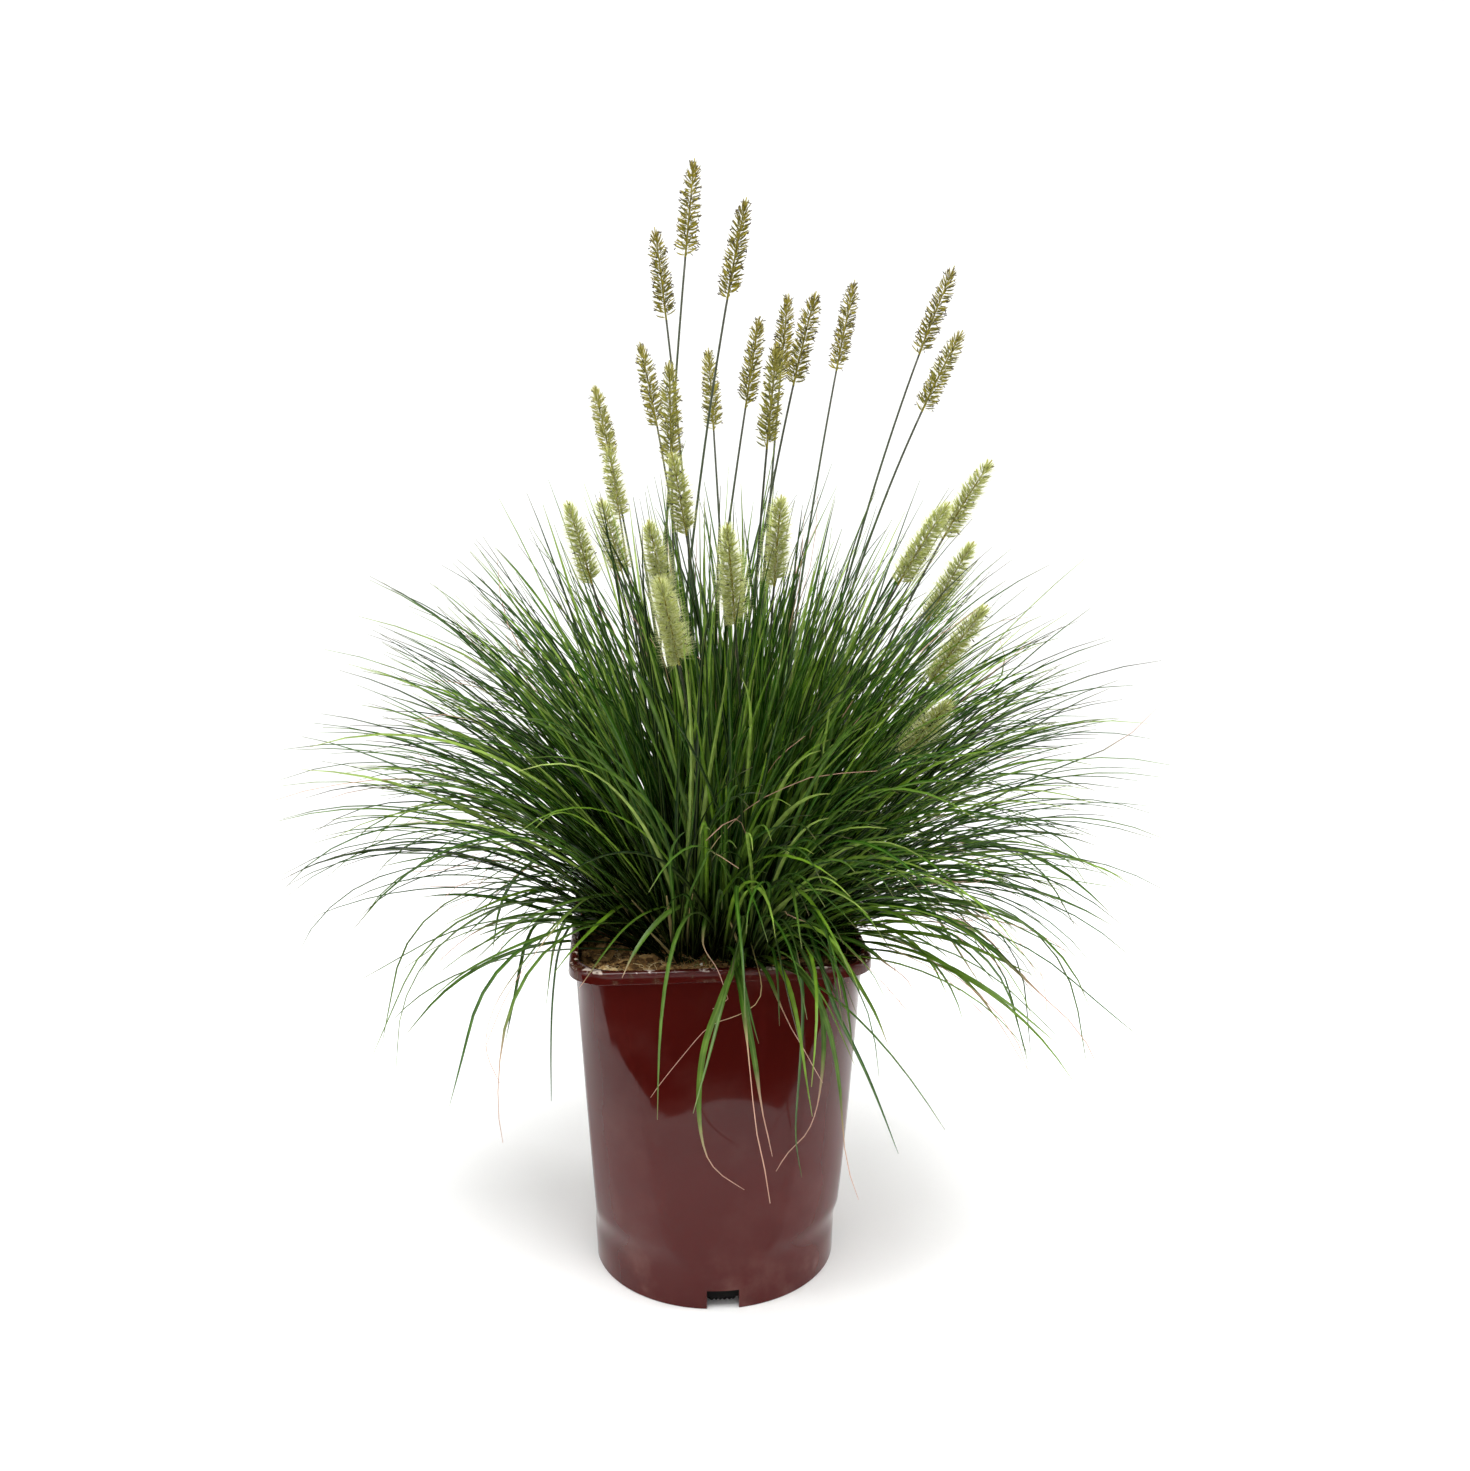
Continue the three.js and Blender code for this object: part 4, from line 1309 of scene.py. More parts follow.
# %% Templates of the head's small parts
ROW_GAP = 2.3
SPIKELETS_PER_ROW = 6
SPIKELET_LENGTH = 7.0
SPIKELET_RADIUS = 0.58
SPIKELET_BOW = 0.26
BRISTLES = (5, 11)
BRISTLE_LENGTH = (8.4, 12.0)
BRISTLE_RADIUS = (0.08, 0.095)
ANTHER_SHARE = (0.5, 0.06)
TIP_ROOM = 6.5
SPARSE_BELOW = 0.07
SPARSE_KEPT = 0.4
YOUNG_HEIGHT = (690, 540)
GOLDEN_ANGLE = math.pi * (3 - math.sqrt(5))


def spindle(stations, radii, sides):
    """A pointed shape along +Z of length one, with its widths relative to one."""
    angle = np.arange(sides) / sides * 2 * math.pi
    rings = [np.stack([np.cos(angle) * r, np.sin(angle) * r, np.full(sides, z)], 1)
             for z, r in zip(stations, radii)]
    return np.concatenate(rings), *tube_faces(len(stations), sides)


SPIKELET = spindle([0, 0.34, 0.72, 1], [0.25, 0.9, 0.95, 0.06], 5)
BRISTLE = spindle([0, 1], [1.0, 0.25], 3)
ANTHER = spindle([0, 0.3, 0.75, 1], [0.3, 1.0, 0.9, 0.3], 4)


def placed(template, origins, directions, lengths, widths, spin):
    """Copies of a template, each with its own place, direction, length and width."""
    helper = np.where(np.abs(directions[:, 2:]) > 0.9, [[1.0, 0, 0]], [[0, 0, 1.0]])
    a = unit(np.cross(directions, helper))
    b = np.cross(directions, a)
    cos, sin = np.cos(spin)[:, None], np.sin(spin)[:, None]
    a, b = a * cos + b * sin, b * cos - a * sin
    shape = template[0]
    return (
        origins[:, None]
        + a[:, None] * shape[None, :, :1] * widths[:, None, None]
        + b[:, None] * shape[None, :, 1:2] * widths[:, None, None]
        + directions[:, None] * shape[None, :, 2:] * lengths[:, None, None]
    )


print("triangles in a spikelet:", len(SPIKELET[1]) * 2 + len(SPIKELET[2]))

# %% [markdown]
# Numpy has its own seeded chance, which gives whole arrays of numbers at once.

# %% Spikelets of one head


def head_frame(place, shares):
    """Points along a head's axis, with the axis and two directions across it."""
    curve, neck = place["stem"], place["neck"]
    fine = curve.along(neck, 1, 60)
    axis = unit(np.gradient(fine, axis=0))
    grid = np.linspace(0, 1, 61)
    at = np.stack([np.interp(shares, grid, fine[:, k]) for k in range(3)], 1)
    along = unit(np.stack([np.interp(shares, grid, axis[:, k]) for k in range(3)], 1))
    a = unit(np.cross(along, [[0.83, 0.12, 0.54]]))
    return at, along, a, np.cross(along, a)


def youth(place):
    """How young a head is, from 0 for the tallest to 1 for those low in the clump."""
    old, young = YOUNG_HEIGHT
    return min(max((old - place["flower"][2]) / (old - young), 0), 1)


def add_head(pile, place, draws):
    """Rows of spikelets. A head low in the clump is younger: more bristle, less anther."""
    young = youth(place)
    spike = place["flower"][3]
    rows = round(spike / ROW_GAP)
    count = rows * SPIKELETS_PER_ROW
    row = np.repeat(np.arange(rows), SPIKELETS_PER_ROW)
    shares = (row + 0.5) / rows + draws.normal(0, 0.5, count) / spike
    kept = (shares > SPARSE_BELOW) | (draws.uniform(0, 1, count) < SPARSE_KEPT)
    row, shares = row[kept], np.clip(shares[kept], 0.01, 1) * (1 - TIP_ROOM / spike)
    count = len(row)
    at, along, a, b = head_frame(place, shares)
    turn = np.arange(count) * 2 * math.pi / SPIKELETS_PER_ROW + row * GOLDEN_ANGLE
    turn += draws.normal(0, 0.2, count)
    outward = a * np.cos(turn)[:, None] + b * np.sin(turn)[:, None]
    top = np.clip((shares - 0.68) / 0.26, 0, 1)
    lean = mix(draws.uniform(70, 84), 14, top)
    opening = np.radians(lean + draws.normal(0, 6, count))
    direction = unit(outward * np.sin(opening)[:, None] + along * np.cos(opening)[:, None])
    taper = np.interp(shares, [0, 0.08, 0.3, 0.75, 1], [0.9, 1.0, 1.0, 0.86, 0.5])
    length = SPIKELET_LENGTH * taper * draws.uniform(0.85, 1.1, count)
    width = SPIKELET_RADIUS * taper * draws.uniform(0.75, 1.15, count)
    origin = at + direction * 1.2
    tone = np.clip(draws.uniform(0, 1, count) + mix(-0.1, 0.15, young), 0, 1)
    spin = draws.uniform(0, 6.3, count)
    shapes = placed(SPIKELET, origin, direction, length, width, spin)
    bow = SPIKELET_BOW * SPIKELET[0][None, :, 2:] ** 2 * length[:, None, None]
    shapes += bow * along[:, None, :]
    pile.add(shapes, *SPIKELET[1:],
             tone=tone[:, None], up=shares[:, None], kind=0.0, young=young,
             out=np.repeat([0, 0.34, 0.72, 1.0], 5)[None])
    add_bristles(pile, at, along, direction, shares, taper, draws, young)
    add_anthers(pile, origin, direction, length, shares, draws, young)


def add_bristles(pile, at, along, direction, shares, taper, draws, young):
    """Fine bristles round each spikelet, a little longer than it."""
    count = round(mix(*BRISTLES, young))
    origins = np.repeat(at + direction * 0.9, count, 0)
    spread = np.repeat(direction, count, 0) + draws.normal(0, 0.3, (len(origins), 3))
    spread = unit(spread + np.repeat(along, count, 0) * 0.16)
    lengths = mix(*BRISTLE_LENGTH, young) * np.repeat(taper, count)
    lengths = lengths * draws.uniform(0.6, 1.1, len(origins))
    widths = np.full(len(origins), mix(*BRISTLE_RADIUS, young))
    spin = draws.uniform(0, 6.3, len(origins))
    pile.add(placed(BRISTLE, origins, spread, lengths, widths, spin), *BRISTLE[1:],
             tone=draws.uniform(0, 1, (len(origins), 1)),
             up=np.repeat(shares, count)[:, None], kind=0.5, young=young)


def add_anthers(pile, origin, direction, length, shares, draws, young):
    """Dark anthers that hang at the ends of some spikelets."""
    chosen = draws.uniform(0, 1, len(origin)) < mix(*ANTHER_SHARE, young)
    tips = origin[chosen] + direction[chosen] * length[chosen, None] * 0.72
    count = len(tips)
    hang = unit(direction[chosen] + draws.normal(0, 0.55, (count, 3)) - np.array([[0, 0, 0.3]]))
    widths = draws.uniform(0.3, 0.48, count)
    lengths = draws.uniform(1.8, 3.0, count)
    pile.add(placed(ANTHER, tips, hang, lengths, widths, np.zeros(count)), *ANTHER[1:],
             tone=draws.uniform(0, 1, (count, 1)), up=shares[chosen][:, None], kind=1.0)


def add_rachis(pile, place):
    """The stalk in the middle of a head."""
    path = place["stem"].along(place["neck"], 1, 14)
    radii = np.linspace(STEM_TIP_RADIUS, 0.4, 15)
    quads, ends = tube_faces(15, 6)
    pile.add(swept_tube(path, radii, 6)[None], quads, ends, tone=0.45, up=0.3, kind=0.25)


# %% [markdown]
# An old head is olive, gold at its tip, with dark ends and anthers. A young one, low in
# the clump, is pale green and fuzzy, because its bristles are many and nearly white.

# %% Flower material
SPIKELET_GREEN = srgb(76, 76, 0)
SPIKELET_PALE = srgb(158, 146, 14)
SPIKELET_YOUNG = srgb(158, 172, 84)
SPIKELET_GOLD = srgb(102, 86, 0)
SPIKELET_END = srgb(76, 64, 0)
BRISTLE_OLIVE = srgb(160, 148, 6)
BRISTLE_PALE = srgb(208, 212, 148)
ANTHER_BROWN = srgb(44, 32, 10)


def flower_material():
    material, tree = new_material("flower_spikelets")
    kind = mark(tree, "kind")
    tone = mark(tree, "tone")
    up = mark(tree, "up")
    young = mark(tree, "young")
    old = scaled(tree, young, 0.0, 1.0, 1.0, 0.0)
    husk = ramp(tree, tone, [(0.0, SPIKELET_GREEN), (1.0, SPIKELET_PALE)])
    husk = blend(tree, scaled(tree, young, 0.0, 1.0, 0.0, 0.7), husk, SPIKELET_YOUNG)
    gold = times(tree, scaled(tree, up, 0.7, 0.95, 0.0, 0.8), old)
    husk = blend(tree, gold, husk, SPIKELET_GOLD)
    end = times(tree, scaled(tree, mark(tree, "out"), 0.58, 0.9, 0.0, 0.85), old)
    husk = blend(tree, end, husk, SPIKELET_END)
    bristle = blend(tree, young, BRISTLE_OLIVE, BRISTLE_PALE)
    colour = blend(tree, scaled(tree, kind, 0.4, 0.5), husk, bristle)
    colour = blend(tree, scaled(tree, kind, 0.9, 1.0), colour, ANTHER_BROWN)
    surface = wire(tree, "ShaderNodeBsdfPrincipled", {"Base Color": colour, "Roughness": 0.62})
    finish_with(tree, surface.outputs[0])
    return material


FLOWER_FINISH = flower_material()
print("material", FLOWER_FINISH.name)

# %% Flower heads
head_pieces = []
for number, place in enumerate(places, 1):
    pile = Pile("tone", "up", "kind", "out", "young")
    draws = np.random.default_rng(LOOKS_SEED + number)
    add_head(pile, place, draws)
    add_rachis(pile, place)
    piece = make_piece(f"flower_head_{number:02d}_spikelets", pile, FLOWER_FINISH)
    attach(piece, "root")
    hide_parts(f"flower_head_{number:02d}")
    head_pieces.append(piece)
print("triangles in flower heads:", triangles_of(head_pieces))

# %% [markdown]
# The pot
#
# A nursery pot is moulded in one piece: a rolled lip, thin walls, and a round foot.
# Its lip is a rounded square, so that pots stand close in a tray, and its foot is
# round. In between it is a round cone, and four flat panels are cut from it. Each
# panel ends in an arc just over the foot. Subdivision would blur where the panels end,
# so the wall is built ring by ring from the same formula as the solid, only with many
# more points.

# %% Rings of the pot
CORNER_STEPS = 16
PANEL_STEPS = 9
SLOPE_HEIGHT = 30.0
DENSE_HEIGHT = 58.0
LIP_DRAFT = 0.25
LIP_ROUNDING = 2.8


def pot_ring(side, centre, radius, start, z):
    """Four sides at one distance, joined by arcs about a centre on the diagonal."""
    angle = np.linspace(start, math.pi / 2 - start, CORNER_STEPS + 1)
    arc = np.stack([centre + radius * np.cos(angle), centre + radius * np.sin(angle)], 1)
    edge = np.linspace(0, 1, PANEL_STEPS, endpoint=False)
    first = np.stack([mix(side, arc[0, 0], edge ** 6), edge * arc[0, 1]], 1)
    last = first[:0:-1, ::-1]
    quarter = np.concatenate([first, arc, last])
    ring = []
    for turn in range(4):
        cos, sin = round(math.cos(turn * math.pi / 2)), round(math.sin(turn * math.pi / 2))
        ring.append(quarter @ np.array([[cos, sin], [-sin, cos]]))
    ring = np.concatenate(ring)
    return np.concatenate([ring, np.full((len(ring), 1), z)], 1)


def circle_ring(radius, z):
    """A circle with its points spaced as on the other rings."""
    ring = pot_ring(radius, 0, radius, math.radians(14), z)
    flat = np.linalg.norm(ring[:, :2], axis=1, keepdims=True)
    ring[:, :2] *= radius / flat
    return ring


def square_ring(half_width, corner, z):
    """A rounded square, as at the lip."""
    return pot_ring(half_width, half_width - corner, corner, 0, z)


def wall_ring(z, inset=0.0):
    """The wall at a height: a round foot, a short slope, and the panels above it."""
    rise = z + inset - FOOT_BAND
    if rise <= 0:
        return circle_ring(FOOT_RADIUS - FOOT_TAPER * (1 - z / FOOT_BAND) - inset, z)
    if rise >= SLOPE_HEIGHT:
        return panel_ring(z, rise, inset)
    share = rise / SLOPE_HEIGHT
    share = share * share * (3 - 2 * share)
    return mix(circle_ring(FOOT_RADIUS - inset, z), panel_ring(z, rise, inset), share)


def panel_ring(z, rise, inset):
    """A round cone cut by four flat panels, with its corners rounder towards the lip."""
    t = min(rise / (POT_HEIGHT - LIP_HEIGHT - FOOT_BAND), 1)
    square = math.hypot(BODY_HALF_WIDTH, BODY_HALF_WIDTH - BODY_CORNER)
    cone = mix(FOOT_RADIUS, square - SWELL, t) + SWELL * (1 - math.exp(-SWELL_PACE * t))
    panel = mix(PANEL_FOOT, BODY_HALF_WIDTH, t)
    flat = math.sqrt(cone ** 2 - panel ** 2)
    centre = flat * t ** 2
    radius = math.hypot(panel - centre, flat - centre) - inset
    start = math.atan2(flat - centre, panel - centre)
    return pot_ring(panel - inset, centre, radius, start, z)


def wall_rings(inset=0.0):
    """Rings from the foot band up: close together where the panels start."""
    slope = SLOPE_HEIGHT * np.linspace(0, 1, 11)[:-1]
    low = SLOPE_HEIGHT + DENSE_HEIGHT * np.linspace(0, 1, 16) ** 1.2
    high = np.linspace(100, POT_HEIGHT - LIP_HEIGHT - FOOT_BAND, 10)[:-1]
    rises = np.concatenate([slope, low, high])
    return [wall_ring(FOOT_BAND + rise - inset, inset) for rise in rises]


def lip_rings():
    """The rolled lip, from under its outer edge over the top to the inner wall."""
    bottom = POT_HEIGHT - LIP_HEIGHT
    inner = BODY_HALF_WIDTH - WALL
    inner_corner = BODY_CORNER - WALL
    rings = [
        wall_ring(bottom),
        square_ring(BODY_HALF_WIDTH + 0.8, BODY_CORNER + 0.8, bottom),
        square_ring(LIP_HALF_WIDTH - 0.9, LIP_CORNER - 0.9, bottom + 0.1),
        square_ring(LIP_HALF_WIDTH - LIP_DRAFT, LIP_CORNER - LIP_DRAFT, bottom + 0.6),
        square_ring(LIP_HALF_WIDTH, LIP_CORNER, bottom + 1.6),
        square_ring(LIP_HALF_WIDTH - LIP_DRAFT, LIP_CORNER, POT_HEIGHT - LIP_ROUNDING),
    ]
    for step in range(1, 6):
        turn = step / 5 * math.pi / 2
        inset = LIP_DRAFT + 2.4 * (1 - math.cos(turn))
        z = POT_HEIGHT - LIP_ROUNDING + LIP_ROUNDING * math.sin(turn)
        rings.append(square_ring(LIP_HALF_WIDTH - inset, LIP_CORNER - inset, z))
    rings.append(square_ring(inner + 1.6, inner_corner + 1.6, POT_HEIGHT))
    rings.append(square_ring(inner + 0.4, inner_corner + 0.4, POT_HEIGHT - 0.7))
    rings.append(wall_ring(bottom, WALL))
    return rings


def pot_rings():
    """From the middle of the floor's underside, round the foot, up, over and down inside."""
    inner_foot = FOOT_RADIUS - FOOT_RING
    rings = [
        circle_ring(2, FLOOR_BOTTOM),
        circle_ring(inner_foot, FLOOR_BOTTOM),
        circle_ring(inner_foot, 0.4),
        circle_ring(inner_foot + 0.5, 0.0),
        circle_ring(FOOT_RADIUS - FOOT_TAPER - 0.5, 0.0),
        wall_ring(0.6),
        wall_ring(8),
    ]
    rings += wall_rings()
    rings += lip_rings()
    rings += wall_rings(WALL)[::-1]
    rings.append(wall_ring(FLOOR_TOP, WALL))
    rings.append(circle_ring(2, FLOOR_TOP))
    return rings


print("rings in the pot:", len(pot_rings()), "with", len(pot_rings()[0]), "points each")

# %% [markdown]
# Drain notches
#
# Four notches in the foot let water out, one under the middle of each panel. They are
# cut with a Boolean modifier, which is then applied, because the export and the
# collision model want one closed mesh.

# %% Cut the notches
NOTCH_DEPTH = 10


def notch_cutter(turn):
    """A block that reaches through the foot and its ring, at one side of the pot."""
    pile = Pile()
    x = np.array([FOOT_RADIUS - NOTCH_DEPTH, FOOT_RADIUS + 6])
    y = np.array([-NOTCH_WIDTH / 2, NOTCH_WIDTH / 2])
    z = np.array([-NOTCH_HEIGHT, NOTCH_HEIGHT])
    corners = [(x[i], y[j], z[k]) for k in (0, 1) for j, i in ((0, 0), (0, 1), (1, 1), (1, 0))]
    corners = np.array(corners) @ np.array([
        [math.cos(turn), math.sin(turn), 0],
        [-math.sin(turn), math.cos(turn), 0],
        [0, 0, 1],
    ])
    quads, ends = tube_faces(2, 4)
    pile.add(corners[None], quads, ends)
    return make_piece("notch_cutter", pile, bpy.data.materials.new("cutter"))


def cut(piece, cutters):
    """Takes the cutters out of a piece and removes them."""
    for cutter in cutters:
        modifier = piece.modifiers.new("cut", "BOOLEAN")
        modifier.object = cutter
        modifier.operation = "DIFFERENCE"
        modifier.solver = "EXACT"
    bpy.context.view_layer.update()
    view = bpy.context.evaluated_depsgraph_get()
    cut_mesh = bpy.data.meshes.new_from_object(piece.evaluated_get(view))
    piece.modifiers.clear()
    old = piece.data
    piece.data = cut_mesh
    bpy.data.meshes.remove(old)
    for cutter in cutters:
        mesh = cutter.data
        bpy.data.objects.remove(cutter)
        bpy.data.meshes.remove(mesh)


# %% [markdown]
# The pot's finish is glossy dark red plastic that has been handled: a film of dust that
# is thicker near the foot, fine upright scuffs, pale flecks of lime, and soil smeared
# on the lip. The lower half is painted a little lighter red, which is painted light:
# the lower wall takes more light than the top, which the leaves shade. Each is a mask
# of height or of noise, mixed over the red.

# %% Pot material
POT_RED = srgb(57, 11, 8)
POT_RED_WORN = srgb(70, 20, 17)
# Painted light: a lighter red for the lower half of the wall.
POT_RED_PAINTED_LIGHT = srgb(86, 20, 17)
POT_DUST = srgb(150, 112, 104)
POT_SOIL = srgb(72, 52, 36)
POT_FLECK = srgb(206, 190, 178)
POT_IOR = 1.325


def height_of(tree):
    """Height on the object, in metres."""
    place = wire(tree, "ShaderNodeTexCoord").outputs["Object"]
    return wire(tree, "ShaderNodeSeparateXYZ", {"Vector": place}).outputs["Z"]


def pot_material():
    material, tree = new_material("pot_finish")
    height = height_of(tree)
    worn = scaled(tree, speckle(tree, 9, 5), 0.42, 0.75, 0.0, 0.35)
    colour = blend(tree, worn, POT_RED, POT_RED_WORN)
    # Painted light: lighter red towards the bottom, where the wall takes more light.
    colour = blend(tree, scaled(tree, height, 0.08, 0.2, 0.34, 0.0), colour, POT_RED_PAINTED_LIGHT)
    foot = scaled(tree, height, 0.0, 0.05, 0.4, 0.05)
    film = times(tree, scaled(tree, speckle(tree, 26, 6), 0.45, 0.8), foot)
    colour = blend(tree, film, colour, POT_DUST)
    scuffs = scaled(tree, speckle(tree, 60, 2, (1, 1, 0.06)), 0.66, 0.8, 0.0, 0.35)
    colour = blend(tree, scuffs, colour, POT_RED_WORN)
    flecks = scaled(tree, speckle(tree, 330, 2), 0.83, 0.88, 0.0, 0.7)
    colour = blend(tree, flecks, colour, POT_FLECK)
    lip = scaled(tree, height, 0.2405, 0.2425)
    smear = times(tree, scaled(tree, speckle(tree, 130, 4), 0.5, 0.68, 0.0, 0.5), lip)
    colour = blend(tree, smear, colour, POT_SOIL)
    rim = scaled(tree, height, 0.2485, 0.2496)
    lime = times(tree, scaled(tree, speckle(tree, 150, 3), 0.56, 0.64, 0.0, 0.8), rim)
    colour = blend(tree, lime, colour, POT_FLECK)
    rough = scaled(tree, speckle(tree, 18, 5), 0.3, 0.8, 0.05, 0.1)
    rough = times(tree, rough, times(tree, smear, 0.5), "ADD")
    surface = wire(tree, "ShaderNodeBsdfPrincipled", {
        "Base Color": colour,
        "Roughness": rough,
        "IOR": POT_IOR,
    })
    finish_with(tree, surface.outputs[0])
    return material


POT_FINISH = pot_material()
print("material", POT_FINISH.name)

# %% Pot


def ringed_pile(rings):
    """A closed shape through a stack of rings, as on a potter's wheel."""
    rings = np.stack(rings)
    pile = Pile()
    quads, ends = tube_faces(len(rings), rings.shape[1])
    pile.add(rings.reshape(1, -1, 3), quads, ends)
    return pile


pot_body = make_piece("pot_body", ringed_pile(pot_rings()), POT_FINISH)
cut(pot_body, [notch_cutter(side * math.pi / 2) for side in range(4)])
pot_body.data.set_sharp_from_angle(angle=math.radians(32))
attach(pot_body, "root")
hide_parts("pot")
print("triangles in the pot:", triangles_of([pot_body]))

# %% [markdown]
# The potting mix
#
# The mix fills the pot. Only its rough top is seen, so the mesh is fine there and
# plain below. Its crumb comes from real height, layers of noise, because a bump in
# the material would be lost in the exported mesh.

# %% Surface of the potting mix
SOIL_RINGS = 84
SOIL_RISES = (0, 15, SLOPE_HEIGHT, 45, 60, 85, 120, 160, 190)
SOIL_GAP = 0.3


def crumb(x, y):
    """Small ups and downs of the mix, in millimetres."""
    at = Vector((x * 0.06, y * 0.06, 3.7))
    coarse = noise.fractal(at, 1.0, 2.0, 5)
    fine = noise.noise(Vector((x * 0.55, y * 0.55, 8.1)))
    return 2.6 * coarse + 0.7 * fine


def soil_rings():
    """From the middle of the underside, up along the wall, and back over the top."""
    edge = WALL + SOIL_GAP
    bottom = FLOOR_TOP + SOIL_GAP
    rings = [circle_ring(2, bottom), wall_ring(bottom, edge)]
    rings += [wall_ring(FOOT_BAND + rise - edge, edge) for rise in SOIL_RISES]
    rim = wall_ring(SOIL_TOP - SOIL_CROWN, edge)
    for k in range(SOIL_RINGS):
        share = 1 - k / SOIL_RINGS
        ring = rim * share
        calm = min(1, (1 - share) * 20)
        for point in ring:
            point[2] = soil_height(point[0], point[1]) - 0.6 + calm * crumb(point[0], point[1])
        rings.append(ring)
    return rings


# %% [markdown]
# Seen close, potting mix is chips of bark, crumbs of peat, brown fibre, white flecks
# of perlite and a little green moss. Each kind is a small shape scattered over the
# surface with seeded chance. A few larger pieces lie in the open corner at the front
# left, and lumps of mix painted nearly black sit in each drain notch as painted shade.

# %% Bits on the potting mix
CRUMBS = 1300
CHIPS = 240
FIBRES = 700
CHUNKS = 9
MIX_REACH = 91.0
CHUNK_PLACE = np.array([-76.0, -78.0])
PLUG_LUMPS = 6
PLUG_DISTANCE = 80.8
PLUG_BOTTOM = 4.0
PLUG_RADIUS = 3.2
PLUG_HEIGHT = 9.0
MOSS_TUFTS = 900
PERLITE = 46


def lump_template():
    """A rough round lump: a low ball with six sides."""
    stations = [0.0, 0.25, 0.6, 0.9, 1.0]
    return spindle(stations, [0.35, 0.9, 1.0, 0.62, 0.15], 6)


def add_chunks(pile, draws):
    """Pieces of bark and root that lie in the open corner at the front left."""
    x, y = (CHUNK_PLACE + draws.normal(0, 6.5, (CHUNKS, 2)).clip(-10, 10)).T
    at = np.array([(a, b, soil_height(a, b) + 1.5) for a, b in zip(x, y)])
    size = draws.uniform(7, 12, CHUNKS)
    lean = unit(draws.normal(0, 0.7, (CHUNKS, 3)) + [[0, 0, 1]])
    shape = placed(LUMP, at - lean * size[:, None] * 0.3, lean, size * 0.7, size * 0.55,
                   draws.uniform(0, 6.3, CHUNKS))
    shape += draws.normal(0, 1, shape.shape) * (size * 0.09)[:, None, None]
    pile.add(shape, *LUMP[1:], tint=draws.uniform(0.6, 0.95, (CHUNKS, 1)))


def add_notch_shade_plugs(pile, draws):
    """Lumps of mix in the drain notches, painted nearly black: painted shade inside them."""
    across = np.linspace(-1, 1, PLUG_LUMPS) * (NOTCH_WIDTH / 2 - PLUG_RADIUS - 0.4)
    row = np.array([(PLUG_DISTANCE, y, PLUG_BOTTOM) for y in across])
    for side in range(4):
        cos, sin = round(math.cos(side * math.pi / 2)), round(math.sin(side * math.pi / 2))
        at = row @ np.array([[cos, sin, 0], [-sin, cos, 0], [0, 0, 1]])
        up = unit(draws.normal(0, 0.06, at.shape) + [[0, 0, 1]])
        heights = draws.uniform(0.8, 1.0, PLUG_LUMPS) * PLUG_HEIGHT
        radii = draws.uniform(0.85, 1.0, PLUG_LUMPS) * PLUG_RADIUS
        shape = placed(LUMP, at, up, heights, radii, draws.uniform(0, 6.3, PLUG_LUMPS))
        pile.add(shape, *LUMP[1:], tint=draws.uniform(0, 0.2, (PLUG_LUMPS, 1)))


def scatter(draws, count):
    """Points on the surface of the mix, clear of the pot's round corners."""
    points = []
    while len(points) < count:
        x, y = draws.uniform(-MIX_REACH, MIX_REACH, 2)
        if max(abs(x), abs(y)) < MIX_REACH - 14 or math.hypot(x, y) < MIX_REACH * 1.22:
            points.append((x, y, soil_height(x, y) - 0.6 + crumb(x, y)))
    return np.array(points)


def add_lumps(pile, draws, count, sizes, flatness, tone):
    """Round crumbs or grains, half sunk in the mix."""
    at = scatter(draws, count)
    size = draws.uniform(*sizes, count)
    lean = unit(draws.normal(0, 0.5, (count, 3)) + [[0, 0, 1]])
    shape = placed(LUMP, at - lean * size[:, None] * 0.3, lean, size * flatness, size * 0.6,
                   draws.uniform(0, 6.3, count))
    shape += draws.normal(0, 1, shape.shape) * (size * 0.07)[:, None, None]
    low, high = tone
    pile.add(shape, *LUMP[1:], tint=draws.uniform(low, high, (count, 1)))


def add_chips(pile, draws, count):
    """Bark chips: long flat flakes that lie on the mix or stick out of it."""
    at = scatter(draws, count)
    length = draws.uniform(4, 13, count)
    lie = unit(draws.normal(0, 1, (count, 3)) * [1, 1, 0.28])
    shape = placed(CHIP, at - lie * length[:, None] / 2 + [[0, 0, 0.8]], lie, length,
                   length * draws.uniform(0.1, 0.24, count), draws.uniform(-0.6, 0.6, count))
    shape += draws.normal(0, 0.16, shape.shape)
    pile.add(shape, *CHIP[1:], tint=draws.uniform(0.35, 0.75, (count, 1)))


def add_fibres(pile, draws, count):
    """Root fibres: thin curls that lie on the mix."""
    for at in scatter(draws, count):
        steps = 7
        turn = draws.uniform(0, 6.3) + np.cumsum(draws.normal(0, 0.45, steps + 1))
        rise = draws.normal(0, 0.2, steps + 1) + np.linspace(0.25, -0.25, steps + 1)
        size = draws.uniform(1.0, 3.6)
        path = at + np.cumsum(np.stack([np.cos(turn), np.sin(turn), rise], 1) * size, 0)
        half = max(abs(path[:, 0]).max(), abs(path[:, 1]).max())
        if half > MIX_REACH + 0.5:
            continue
        thick = draws.uniform(0.12, 0.34)
        quads, ends = tube_faces(steps + 1, 4)
        radii = thick * np.linspace(1, 0.5, steps + 1)
        pile.add(swept_tube(path, radii, 4)[None], quads, ends, tint=draws.uniform(0.5, 1.0))


